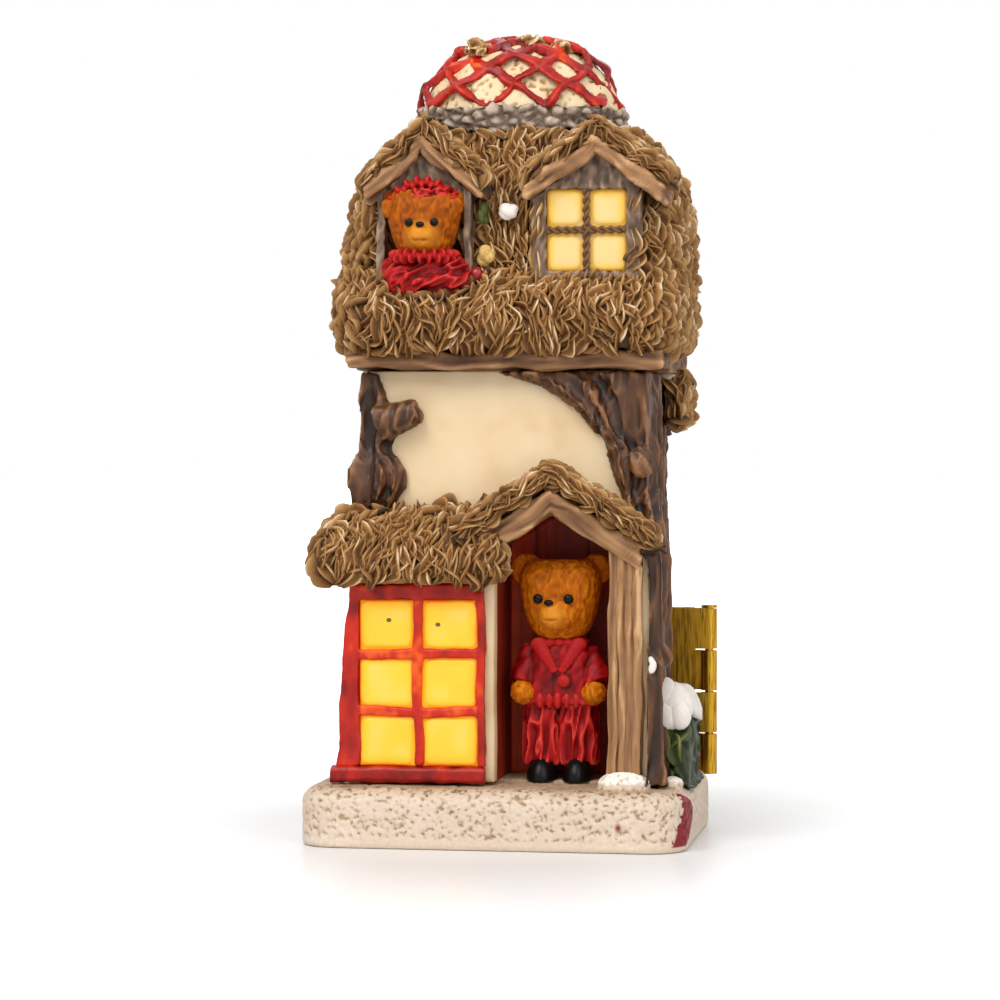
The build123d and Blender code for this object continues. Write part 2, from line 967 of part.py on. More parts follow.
def dormer_thatch_blank(centre, half_span, rise):
    """A dormer's thatch above its boards as a full-depth inverted V."""
    slope = rise / half_span
    reach = half_span + dormer_thatch_reach
    foot = dormer_spring() + dormer_board_height - slope * dormer_thatch_reach
    outline = gable_band(centre, reach, foot, slope * reach, dormer_thatch_height)
    thatch = front_prism(outline, -dormer_thatch_front, -dormer_back)
    return fillet(thatch.faces().sort_by(Axis.Y)[0].edges(), dormer_thatch_round)


def make_right_dormer_frame():
    """The lit dormer's timber front: a ring round the panes with a cross of bars."""
    sill = plate_z + dormer_floor + dormer_window_sill
    left = right_front_centre - dormer_window_width / 2
    right = right_front_centre + dormer_window_width / 2
    frame = right_dormer_front()
    pane_front = -dormer_front + dormer_wall
    pane_back = pane_front + dormer_pane_thickness
    frame -= block(left, right, -dormer_front - overrun, pane_back, sill, sill + dormer_window_height)
    frame -= block(
        left + window_lap,
        right - window_lap,
        pane_back - overrun,
        overrun,
        sill + window_lap,
        sill + dormer_window_height - window_lap,
    )
    bar_front = -dormer_front + dormer_wall / 2
    middle_x = right_front_centre
    middle_z = sill + dormer_window_height / 2
    half = dormer_muntin / 2
    top = sill + dormer_window_height
    frame += block(middle_x - half, middle_x + half, bar_front, pane_front, sill, top)
    frame += block(left, right, bar_front, pane_front, middle_z - half, middle_z + half)
    return frame - roof_blank() - eave_thatch_blank()


def make_dormer_panes():
    """The lit dormer's translucent panel with four domed lights."""
    sill = plate_z + dormer_floor + dormer_window_sill
    pane_front = -dormer_front + dormer_wall
    left = right_front_centre - dormer_window_width / 2 + glue_gap
    right = right_front_centre + dormer_window_width / 2 - glue_gap
    top = sill + dormer_window_height - glue_gap
    panes = block(left, right, pane_front, pane_front + dormer_pane_thickness, sill + glue_gap, top)
    lights = window_grid(
        right_front_centre,
        dormer_window_width,
        sill,
        dormer_window_height,
        dormer_window_columns,
        dormer_window_rows,
        dormer_muntin,
    )
    for x0, x1, z0, z1 in lights:
        panes += pillow(x0, x1, z0, z1, pane_front, dormer_pane_bulge, pane_corner, glue_gap)
    return panes - roof_blank() - eave_thatch_blank()


def make_left_dormer_frame():
    """The bear's dormer: a timber front with an open window."""
    sill = plate_z + dormer_floor + dormer_window_sill
    frame = left_dormer_front() - block(
        left_dormer_centre - bear_window_width / 2,
        left_dormer_centre + bear_window_width / 2,
        -dormer_front - overrun,
        -dormer_front + bear_recess_depth,
        sill,
        sill + bear_window_height,
    )
    frame = frame - roof_blank() - eave_thatch_blank() - window_bear_blank()
    return frame.solids().sort_by(SortBy.VOLUME)[-1]


def make_left_dormer_boards():
    """The left dormer's gable boards."""
    boards = dormer_boards_blank(left_dormer_centre, left_dormer_half_span, left_dormer_rise)
    return boards - roof_blank() - left_dormer_front() - crown_keep_out()


def make_right_dormer_boards():
    """The right dormer's gable boards."""
    boards = dormer_boards_blank(right_dormer_centre, right_dormer_half_span, right_dormer_rise)
    return boards - roof_blank() - right_dormer_front() - crown_keep_out()


def make_left_dormer_thatch():
    """The left dormer's thatch, lying on its boards and dying into the main roof."""
    thatch = dormer_thatch_blank(left_dormer_centre, left_dormer_half_span, left_dormer_rise)
    thatch -= dormer_boards_blank(left_dormer_centre, left_dormer_half_span, left_dormer_rise)
    thatch -= crown_keep_out()
    return (thatch - roof_blank()).solids().sort_by(SortBy.VOLUME)[-1]


def make_right_dormer_thatch():
    """The right dormer's thatch, lying on its boards and dying into the main roof."""
    thatch = dormer_thatch_blank(right_dormer_centre, right_dormer_half_span, right_dormer_rise)
    thatch -= dormer_boards_blank(right_dormer_centre, right_dormer_half_span, right_dormer_rise)
    thatch -= crown_keep_out()
    return (thatch - roof_blank()).solids().sort_by(SortBy.VOLUME)[-1]


crown_section_shares = [
    (0.0, 1.0),
    (0.25, 0.985),
    (0.5, 0.91),
    (0.72, 0.75),
    (0.88, 0.55),
    (0.97, 0.36),
    (1.0, 0.24),
]


def crown_size(up):
    """The crown's size share at a height share, read between its sections."""
    for (low, wide), (high, narrow) in zip(crown_section_shares, crown_section_shares[1:]):
        if up <= high:
            return wide + (narrow - wide) * (up - low) / (high - low)
    return crown_section_shares[-1][1]


@lru_cache
def make_crown_wall():
    """The crown's plastered mound, oval in plan."""
    sections = []
    for up, size in crown_section_shares:
        plan = Ellipse(crown_half_width * size, crown_half_depth * size)
        sections.append(Pos(crown_centre, crown_back_shift, crown_z + up * crown_height) * plan)
    return loft(sections)


def stone_ring(grow):
    """The crown's stone course as a plain oval ring, grown by a margin."""
    plan = Ellipse(crown_half_width + stone_proud + grow, crown_half_depth + stone_proud + grow)
    return extrude(Pos(crown_centre, crown_back_shift, crown_z) * plan, stone_height)


def crown_keep_out():
    """The space that the crown and its stones take, kept clear of the thatch."""
    return stone_ring(glue_gap)


def make_crown_stones():
    """The stone course round the crown's foot, cut into blocks by its joints."""
    ring = stone_ring(0) - make_crown_wall()
    for index in range(stone_count):
        turn = 2 * pi * index / stone_count
        x = crown_centre + (crown_half_width + stone_proud) * cos(turn)
        y = crown_back_shift + (crown_half_depth + stone_proud) * sin(turn)
        joint = Box(2 * stone_joint, stone_joint, 2 * stone_height, rotation=(0, 0, degrees(turn)))
        ring -= Pos(x, y, crown_z + stone_height) * joint
    return ring


def crown_point(turn, up):
    """A point on the crown's face at an angle in degrees and a height share."""
    size = crown_size(up)
    x = crown_centre + crown_half_width * size * cos(radians(turn))
    y = crown_back_shift + crown_half_depth * size * sin(radians(turn))
    return (x, y, crown_z + up * crown_height)


def lattice_strand(start, lean):
    """One red timber of the crown, climbing round the mound with a lean of 1 or -1."""
    first = stone_height / crown_height
    points = []
    for index in range(lattice_points):
        share = index / (lattice_points - 1)
        up = first + (1 - first) * sin(share * pi / 2)
        points.append(crown_point(start + lean * lattice_turn * share, min(up, 1.0)))
    path = Polyline(points)
    plane = Plane(origin=points[0], z_dir=Vector(*points[1]) - Vector(*points[0]))
    section = plane * Rot(0, 0, 45) * Rectangle(lattice_thickness, lattice_thickness)
    return sweep(section, path=path, transition=Transition.RIGHT)


def make_crown_lattice():
    """The crown's red lattice: two families of timbers that cross on the plaster."""
    strands = []
    for index in range(lattice_strands):
        start = 360 * index / lattice_strands
        strands.append(lattice_strand(start, 1))
        strands.append(lattice_strand(start, -1))
    lattice = strands[0].fuse(*strands[1:])
    lattice = lattice - make_crown_wall() - stone_ring(0) - crown_tuft_blank()
    return lattice.solids().sort_by(SortBy.VOLUME)[-1]


def crown_tuft_blank():
    """The tuft of thatch on the crown's top as a low dome."""
    z = crown_z + crown_height - tuft_sink
    return ellipsoid(crown_centre, crown_back_shift, z, tuft_half_width, tuft_half_depth, tuft_height)


def make_crown_tuft():
    """The tuft of thatch on the crown's top."""
    return crown_tuft_blank() - make_crown_wall()


def make_side_hood():
    """The small thatched hood under the eave at the rear of the right wall."""
    top = eave_z
    x0 = house_right - wall / 2
    x1 = house_right + right_trunk_thickness + hood_reach
    hood = block(x0, x1, hood_front, hood_front + hood_depth, top - hood_height, top)
    hood = fillet(hood.edges().filter_by(Axis.Y).sort_by(Axis.X)[-2:], hood_reach / 2)
    hood = hood - right_trunk_blank() - house_envelope()
    return hood.solids().sort_by(SortBy.VOLUME)[-1]


trouser_hem_share = 0.7
trouser_corner_share = 0.8
trouser_level_shares = [(0.0, 1.0), (0.6, 1.0), (1.0, 0.9)]
jacket_level_shares = [(0.0, 1.06, 1.05), (0.25, 0.95, 1.0), (0.7, 0.9, 0.9), (1.0, 0.6, 0.62)]
jacket_corner_share = 0.8
shoulder_shares = (0.72, 0.8)
cuff_shares = (1.08, 0.3, 0.3)
cuff_flare_share = 1.15
paw_shares = (0.3, 0.5, 0.7)
head_level_shares = [
    (0.0, 0.5, 0.55),
    (0.2, 0.78, 0.9),
    (0.5, 0.95, 1.0),
    (0.8, 1.0, 0.92),
    (1.0, 0.72, 0.55),
]
head_corner_share = 0.85
ear_shares = (0.35, 0.6)
muzzle_place_shares = (0.75, 0.32)
muzzle_size_shares = (1.15, 0.8, 0.9)
pyjama_sill_share = 0.38
pyjama_front_share = 0.55
pyjama_level_shares = [
    (0.0, 0.7, 0.78, 0.5, 0.33),
    (0.45, 0.8, 1.0, 0.0, 0.4),
    (0.82, 0.86, 0.9, 0.2, 0.4),
    (1.0, 0.6, 0.6, 0.4, 0.33),
]
cub_muzzle_share = 1.2
cub_lean_share = 0.1
cap_shares = (0.4, 0.42, 0.9)


def bear_leg_top():
    """The height of the shop bear's jacket hem."""
    return floor_z + bear_shoe_height + bear_leg_height


def make_bear_shoes():
    """The shop bear's two black shoes."""
    legs = bear_trousers_blank()
    shoes = []
    for side in (-1, 1):
        x = bear_x + side * bear_leg_spread
        y = bear_y - bear_leg_depth / 4
        shoe = ellipsoid(x, y, floor_z, bear_shoe_width / 2, bear_shoe_length / 2, bear_shoe_height)
        shoe &= block(
            x - bear_leg_spread + glue_gap,
            x + bear_leg_spread - glue_gap,
            y - bear_shoe_length,
            y + bear_shoe_length,
            floor_z,
            floor_z + bear_shoe_height,
        )
        shoes.append((shoe - legs).solids().sort_by(SortBy.VOLUME)[-1])
    return Compound(children=shoes)


@lru_cache
def bear_trousers_blank():
    """The shop bear's trousers: two full legs that meet at the hips."""
    hem = floor_z + bear_shoe_height * trouser_hem_share
    top = bear_leg_top()
    half = bear_leg_width / 2
    deep = bear_leg_depth / 2
    legs = []
    for side in (-1, 1):
        x = bear_x + side * bear_leg_spread
        levels = []
        for up, wide in trouser_level_shares:
            z = hem + up * (top - hem)
            corner = half * trouser_corner_share
            levels.append((x - half * wide, x + half * wide, bear_y - deep, bear_y + deep, z, corner))
        legs.append(stacked_loft(levels))
    return legs[0] + legs[1]


@lru_cache
def bear_jacket_blank():
    """The shop bear's jacket with both sleeves."""
    low = bear_leg_top()
    half = bear_jacket_width / 2
    deep = bear_jacket_depth / 2
    levels = []
    for up, wide, thick in jacket_level_shares:
        levels.append(
            (
                bear_x - half * wide,
                bear_x + half * wide,
                bear_y - deep * thick,
                bear_y + deep * thick,
                low + up * bear_jacket_height,
                deep * thick * jacket_corner_share,
            )
        )
    jacket = stacked_loft(levels)
    out, up = shoulder_shares
    for side in (-1, 1):
        shoulder = Vector(bear_x + side * half * out, bear_y, low + bear_jacket_height * up)
        along = bear_cuff(side) - shoulder
        plane = Plane(origin=shoulder, z_dir=along)
        cuff = plane.offset(along.length) * Circle(bear_arm_radius * cuff_flare_share)
        jacket += loft([plane * Circle(bear_arm_radius), cuff])
    return jacket


def bear_cuff(side):
    """Where a sleeve of the shop bear ends."""
    out, fore, up = cuff_shares
    return Vector(
        bear_x + side * out * bear_jacket_width / 2,
        bear_y - bear_jacket_depth * fore,
        bear_leg_top() + bear_jacket_height * up,
    )


def make_bear_trousers():
    """The shop bear's red trousers, cut level under the jacket."""
    return bear_trousers_blank() - block(
        bear_x - bear_jacket_width,
        bear_x + bear_jacket_width,
        bear_y - bear_jacket_depth,
        bear_y + bear_jacket_depth,
        bear_leg_top(),
        bear_leg_top() + bear_jacket_height,
    )


def make_bear_paws():
    """The shop bear's two paws at the ends of the sleeves."""
    inward, fore, down = paw_shares
    paws = []
    for side in (-1, 1):
        cuff = bear_cuff(side)
        paw = ellipsoid(
            cuff.X - side * bear_paw_radius * inward,
            cuff.Y - bear_paw_radius * fore,
            cuff.Z - bear_paw_radius * down,
            bear_paw_radius,
            bear_paw_radius,
            bear_paw_radius,
        )
        paws.append((paw - bear_jacket_blank()).solids().sort_by(SortBy.VOLUME)[-1])
    return Compound(children=paws)


def bear_head(x, y, low, width, depth, height, ear_radius, ear_depth, muzzle):
    """A teddy bear's head: broad at the brow, with round ears and a soft muzzle."""
    half = width / 2
    deep = depth / 2
    levels = []
    for up, wide, thick in head_level_shares:
        corner = min(half * wide, deep * thick) * head_corner_share
        levels.append(
            (x - half * wide, x + half * wide, y - deep * thick, y + deep * thick, low + up * height, corner)
        )
    head = stacked_loft(levels)
    inward, down = ear_shares
    for side in (-1, 1):
        ear_x = x + side * (half - ear_radius * inward)
        ear_z = low + height - ear_radius * down
        head += ellipsoid(ear_x, y, ear_z, ear_radius, ear_depth / 2, ear_radius)
    fore, up = muzzle_place_shares
    wide, thick, tall = muzzle_size_shares
    head += ellipsoid(x, y - deep * fore, low + height * up, muzzle * wide, muzzle * thick, muzzle * tall)
    return head


def make_bear_head():
    """The shop bear's head, seated on its collar."""
    head = bear_head(
        bear_x,
        bear_y,
        bear_leg_top() + bear_jacket_height,
        bear_head_width,
        bear_head_depth,
        bear_head_height,
        bear_ear_radius,
        bear_ear_depth,
        bear_muzzle_radius,
    )
    return head - bear_jacket_blank()


def cub_collar():
    """The height of the window bear's collar, above the dormer sill that it leans on."""
    return plate_z + dormer_floor + dormer_window_sill + pyjama_height * pyjama_sill_share


def cub_middle():
    """The plane through the middle of the window bear's head."""
    return -dormer_front + cub_head_depth * cub_lean_share


def cub_pyjama_blank():
    """The window bear's pyjama top, leaning out over the sill."""
    low = cub_collar() - pyjama_height
    front = -dormer_front - pyjama_depth * pyjama_front_share
    back = front + 2 * pyjama_depth
    half = pyjama_width / 2
    levels = []
    for up, left, right, fore, corner in pyjama_level_shares:
        x0 = left_dormer_centre - half * left
        x1 = left_dormer_centre + half * right
        y0 = front + pyjama_depth * fore
        levels.append((x0, x1, y0, back, low + up * pyjama_height, pyjama_depth * corner))
    return stacked_loft(levels)


def cub_head_blank():
    """The window bear's head."""
    return bear_head(
        left_dormer_centre,
        cub_middle(),
        cub_collar(),
        cub_head_width,
        cub_head_depth,
        cub_head_height,
        cub_ear_radius,
        cub_ear_radius,
        cub_ear_radius * cub_muzzle_share,
    )


def cub_cap_blank():
    """The window bear's red nightcap, a low frilled dome on the crown of the head."""
    wide, thick, up = cap_shares
    return ellipsoid(
        left_dormer_centre + cub_ear_radius / 2,
        cub_middle(),
        cub_collar() + cub_head_height * up,
        cub_head_width * wide,
        cub_head_depth * thick,
        cub_cap_height,
    )


@lru_cache
def window_bear_blank():
    """All of the window bear, kept clear of the roof and the dormer."""
    return cub_pyjama_blank() + cub_head_blank() + cub_cap_blank()


def make_cub_head():
    """The window bear's head, seated in its collar and under its cap."""
    head = cub_head_blank() - cub_pyjama_blank() - cub_cap_blank()
    return head.solids().sort_by(SortBy.VOLUME)[-1]


@lru_cache
def shrub_blank():
    """The evergreen shrub as a soft mound that is widest above its foot."""
    levels = []
    tier_shares = [(0.0, 0.9, 0.9), (0.2, 1.0, 1.0), (0.5, 0.96, 0.9), (0.8, 0.84, 0.66), (1.0, 0.5, 0.3)]
    low = floor_z - shrub_sink
    tall = shrub_height + shrub_sink
    for up, wide, long in tier_shares:
        half = shrub_width / 2 * wide
        deep = shrub_depth / 2 * long
        corner = half * shrub_corner_share
        z = low + up * tall
        levels.append((shrub_x - half, shrub_x + half, shrub_y - deep, shrub_y + deep, z, corner))
    return stacked_loft(levels)


def snow_cap_cut():
    """The slanted slab of space that the shrub's snow takes."""
    slab = Box(shrub_depth, 2 * shrub_depth, shrub_snow_height)
    tilt = Rot(-shrub_snow_tilt / 2, shrub_snow_tilt, 0)
    return Pos(shrub_x, shrub_y, floor_z + shrub_height) * tilt * slab


def shrub_neighbours():
    """What the shrub grows against."""
    return house_envelope() + right_trunk_blank()


def make_shrub():
    """The green shrub beside the door post."""
    shrub = shrub_blank() - snow_cap_cut() - shrub_neighbours() - make_snow_base()
    return shrub.solids().sort_by(SortBy.VOLUME)[-1]


def make_shrub_snow():
    """The snow lying on the shrub."""
    snow = (shrub_blank() & snow_cap_cut()) - shrub_neighbours()
    return snow.solids().sort_by(SortBy.VOLUME)[-1]


def knuckle_span(index):
    """The (bottom, top) of a hinge knuckle, counted from the top."""
    pitch = hinge_length / knuckle_count
    top = hinge_top - index * pitch
    return top - pitch + knuckle_gap / 2, top - knuckle_gap / 2


def knuckle_tube(index):
    """One rolled knuckle round the hinge pin."""
    low, high = knuckle_span(index)
    tube = Cylinder(knuckle_radius, high - low) - Cylinder(hinge_pin_radius + pin_clearance, high - low)
    return Pos(hinge_axis_x, hinge_axis_y, (low + high) / 2) * tube


def hinge_leaf(own, other, face_y, direction):
    """A pressed hinge leaf with its own knuckles and slots for the other leaf's.

    face_y is the plane that the leaf is fastened on, and direction is 1 where the leaf
    stands behind that plane and -1 where it stands in front of it.
    """
    y0, y1 = sorted((face_y, face_y + direction * leaf_thickness))
    left = hinge_axis_x - knuckle_radius - leaf_width
    leaf = block(left, hinge_axis_x, y0, y1, hinge_bottom, hinge_top)
    leaf -= Pos(hinge_axis_x, hinge_axis_y, hinge_bottom + hinge_length / 2) * Cylinder(
        hinge_pin_radius + pin_clearance, hinge_length
    )
    for index in other:
        low, high = knuckle_span(index)
        slot_left = hinge_axis_x - knuckle_radius - leaf_slot
        leaf -= block(
            slot_left,
            hinge_axis_x + overrun,
            y0 - overrun,
            y1 + overrun,
            low - knuckle_gap,
            high + knuckle_gap,
        )
    for index in own:
        leaf += knuckle_tube(index)
    return leaf


def house_leaf_screw_y():
    """The plane that the house leaf's screw heads lie flush with."""
    return house_back + leaf_thickness


def screw_set(head_y, direction):
    """Two countersunk screws driven from plane head_y; direction 1 drives them forwards."""
    x = hinge_axis_x - knuckle_radius - leaf_width + screw_inset
    screws = []
    for z in (hinge_bottom + screw_end_inset, hinge_top - screw_end_inset):
        turn = Rot(90, 0, 0) if direction > 0 else Rot(-90, 0, 0)
        head = loft([Circle(screw_head_radius), Pos(0, 0, leaf_thickness) * Circle(screw_shank_radius)])
        shank = Pos(0, 0, (leaf_thickness + screw_length) / 2) * Cylinder(
            screw_shank_radius, leaf_thickness + screw_length
        )
        screws.append(Pos(x, head_y, z) * turn * (head + shank))
    return Compound(children=screws)


def door_leaf_screw_y():
    """The plane that the door leaf's screw heads lie flush with."""
    return door_leaf_face - leaf_thickness


def make_hinge_house_leaf():
    """The hinge leaf that is fastened to the back of the house."""
    leaf = hinge_leaf((0, 2), (1, 3), house_back, 1)
    return leaf - screw_set(house_leaf_screw_y(), 1)


def make_hinge_door_leaf():
    """The hinge leaf that is let into the rear hatch."""
    leaf = hinge_leaf((1, 3), (0, 2), door_leaf_face, -1)
    return leaf - screw_set(door_leaf_screw_y(), -1)


def make_hinge_pin():
    """The hinge pin, with a flat head on the top knuckle and a plain lower end."""
    top = hinge_top
    bottom = knuckle_span(knuckle_count - 1)[0]
    pin = Pos(0, 0, (top + bottom) / 2) * Cylinder(hinge_pin_radius, top - bottom)
    pin += Pos(0, 0, top + pin_head_height / 2) * Cylinder(knuckle_radius, pin_head_height)
    return Pos(hinge_axis_x, hinge_axis_y, 0) * pin


def make_house_leaf_screws():
    """The screws that hold the hinge to the house."""
    return screw_set(house_leaf_screw_y(), 1)


def make_door_leaf_screws():
    """The screws that hold the hinge to the rear hatch."""
    return screw_set(door_leaf_screw_y(), -1)


def magnet(y0, y1):
    """One magnet of the hatch's catch between two planes."""
    x = -door_left + magnet_inset
    return along_y(magnet_radius, x, hinge_bottom + hinge_length / 2, y0, y1)


def make_rear_door():
    """The rear hatch: a ribbed bark panel, mortised for the hinge, with a finger notch."""
    right = hinge_axis_x - knuckle_radius - leaf_slot
    door = block(-door_left, right, door_front, door_back, hinge_bottom, hinge_top)
    door = fillet(door.faces().sort_by(Axis.Y)[-1].edges(), door_round)
    mortise_left = hinge_axis_x - knuckle_radius - leaf_width - moving_gap
    door -= block(
        mortise_left,
        right + overrun,
        door_front - overrun,
        door_leaf_face,
        hinge_bottom - overrun,
        hinge_top + overrun,
    )
    step = (right + door_left) / (door_rib_count + 1)
    for index in range(1, door_rib_count + 1):
        x = -door_left + index * step
        groove = Cylinder(door_rib, 2 * hinge_length)
        door -= Pos(x, door_back, hinge_bottom) * groove
    notch_bar = Cylinder(finger_notch_radius, 2 * door_thickness, rotation=(90, 0, 0))
    notch_x = -door_left - finger_notch_radius + finger_notch_depth
    notch_y = door_back + magnet_length / 2
    door -= Pos(notch_x, notch_y, hinge_bottom + hinge_length * finger_notch_share) * notch_bar
    door -= magnet(door_front, door_front + magnet_length)
    door -= screw_set(door_leaf_screw_y(), -1)
    return door


def make_house_magnet():
    """The catch's magnet in the house's back wall."""
    return magnet(house_back - magnet_length, house_back)


def make_door_magnet():
    """The catch's magnet in the rear hatch."""
    return magnet(door_front, door_front + magnet_length)


def cell_centre():
    """The (x, z) of the coin cells' axis."""
    x = -case_left + case_wall + cell_radius + cell_clearance
    return x, case_bottom + case_height / 2


def switch_place():
    """The (x, z) of the slide switch's middle."""
    x = -case_left + case_width - case_wall - switch_width / 2 - cell_clearance
    return x, case_bottom + case_height / 2


def lid_screw_place():
    """The (x, z) of the screw that holds the battery lid."""
    return switch_place()[0], case_bottom + lid_screw_head + case_wall


def lid_screw():
    """The lid's screw, with its head flush in the lid."""
    x, z = lid_screw_place()
    head = along_y(lid_screw_head, x, z, case_back - lid_thickness / 2, case_back)
    return head + along_y(lid_screw_radius, x, z, case_back - lid_screw_length, case_back)


def make_battery_case():
    """The battery case: an open tray with a round cell pocket and a switch pocket."""
    tray_back = case_back - lid_thickness
    right = -case_left + case_width
    case = block(-case_left, right, case_front, tray_back, case_bottom, case_bottom + case_height)
    case = fillet(case.edges().filter_by(Axis.Y), case_wall / 2)
    x, z = cell_centre()
    pocket_front = cell_front() - contact_thickness
    case -= along_y(cell_radius + cell_clearance, x, z, pocket_front, tray_back + overrun)
    x, z = switch_place()
    case -= block(
        x - switch_width / 2,
        x + switch_width / 2,
        tray_back - switch_depth,
        tray_back + overrun,
        z - switch_height / 2,
        z + switch_height / 2,
    )
    return case - lid_screw()


def cell_front():
    """The front plane of the coin cell stack."""
    return case_back - lid_thickness - contact_thickness - cell_count * cell_thickness


def make_battery_lid():
    """The battery lid, with the switch's slot and the screw's seat."""
    right = -case_left + case_width
    top = case_bottom + case_height
    lid = block(-case_left, right, case_back - lid_thickness, case_back, case_bottom, top)
    lid = fillet(lid.edges().filter_by(Axis.Y), case_wall / 2)
    x, z = switch_place()
    half = knob_width / 2 + switch_travel / 2 + moving_gap
    lid -= block(
        x - half,
        x + half,
        case_back - lid_thickness - overrun,
        case_back + overrun,
        z - knob_height / 2 - moving_gap,
        z + knob_height / 2 + moving_gap,
    )
    return lid - lid_screw()


def make_coin_cells():
    """Two coin cells, one behind the other."""
    x, z = cell_centre()
    cells = []
    for index in range(cell_count):
        y0 = cell_front() + index * cell_thickness
        cells.append(along_y(cell_radius, x, z, y0, y0 + cell_thickness))
    return Compound(children=cells)


def make_cell_contacts():
    """The two flat contacts before and behind the cells."""
    x, z = cell_centre()
    half = contact_width / 2
    contacts = []
    for back_y in (cell_front(), case_back - lid_thickness):
        front_y = back_y - contact_thickness
        contacts.append(block(x - cell_radius / 2, x + cell_radius / 2, front_y, back_y, z - half, z + half))
    return Compound(children=contacts)


def make_slide_switch():
    """The slide switch's body in its pocket."""
    x, z = switch_place()
    tray_back = case_back - lid_thickness
    body = block(
        x - switch_width / 2,
        x + switch_width / 2,
        tray_back - switch_depth,
        tray_back,
        z - switch_height / 2,
        z + switch_height / 2,
    )
    half = knob_width / 2 + switch_travel / 2 + moving_gap
    body -= block(
        x - half,
        x + half,
        tray_back - knob_root - moving_gap,
        tray_back + overrun,
        z - knob_height / 2 - moving_gap,
        z + knob_height / 2 + moving_gap,
    )
    return body


def make_switch_knob():
    """The switch's knob at the lit end of its travel."""
    x, z = switch_place()
    x -= switch_travel / 2
    knob = block(
        x - knob_width / 2,
        x + knob_width / 2,
        case_back - lid_thickness - knob_root,
        case_back + knob_proud,
        z - knob_height / 2,
        z + knob_height / 2,
    )
    return knob


def led(x, z, base_y):
    """A round-nosed lamp that points to the front from plane base_y."""
    flange = along_y(led_flange_radius, x, z, base_y - led_flange, base_y)
    body = along_y(led_radius, x, z, base_y - led_body, base_y)
    nose = Pos(x, base_y - led_body, z) * Sphere(led_radius)
    return flange + body + nose


def lower_board_z():
    """The middle height of the lower lamp board."""
    return case_bottom + case_height - board_height


def make_lower_lamp_board():
    """The lower lamp board on the front of the battery case."""
    x = -case_left + case_wall
    z = lower_board_z()
    half = board_height / 2
    return block(x, x + board_width, case_front - board_thickness, case_front, z - half, z + half)


def make_lower_lamps():
    """The two lamps behind the shop window."""
    x = -case_left + case_wall + board_width / 2
    y = case_front - board_thickness
    z = lower_board_z()
    return Compound(children=[led(x - led_pitch / 2, z, y), led(x + led_pitch / 2, z, y)])


def make_upper_lamp_board():
    """The upper lamp board on the back wall of the roof's cavity."""
    half_x = upper_board_width / 2
    half_z = upper_board_height / 2
    return block(
        right_front_centre - half_x,
        right_front_centre + half_x - wall,
        roof_cavity_back - board_thickness,
        roof_cavity_back,
        upper_led_height - half_z,
        upper_led_height + half_z,
    )


def make_upper_lamp():
    """The lamp behind the lit dormer."""
    return led(right_front_centre - wall / 2, upper_led_height, roof_cavity_back - board_thickness)


def lead_path(offset):
    """A lead's line from the battery case up to the upper lamp board."""
    start_x = -case_left + case_width - lead_pitch + offset
    end_x = right_front_centre - wall / 2 + offset
    start_y = (case_front + case_back) / 2
    end_y = roof_cavity_back - board_thickness / 2
    start_z = case_bottom + case_height
    end_z = upper_led_height - upper_board_height / 2
    tall = end_z - start_z
    low_share, middle_share, high_share = lead_bend_shares
    points = [
        (start_x, start_y, start_z),
        (start_x, start_y, start_z + tall * low_share),
        (start_x - lead_offset, start_y - lead_offset, start_z + tall * middle_share),
        (end_x, end_y, start_z + tall * high_share),
        (end_x, end_y, end_z),
    ]
    return points


def make_lead(offset):
    """One lead, a tube of straight runs joined by large arcs."""
    points = [Vector(*p) for p in lead_path(offset)]
    radii = []
    for before, here, after in zip(points, points[1:], points[2:]):
        turn = radians((here - before).get_angle(after - here))
        run = min((here - before).length, (after - here).length)
        radii.append(lead_arc_share * run * cos(turn / 2) / sin(turn / 2))
    path = FilletPolyline(*points, radius=radii)
    plane = Plane(origin=points[0], z_dir=points[1] - points[0])
    return sweep(plane * Circle(lead_radius), path=path)


def make_lamp_leads():
    """The two leads between the battery case and the upper lamp board."""
    return Compound(children=[make_lead(-lead_pitch / 2), make_lead(lead_pitch / 2)])


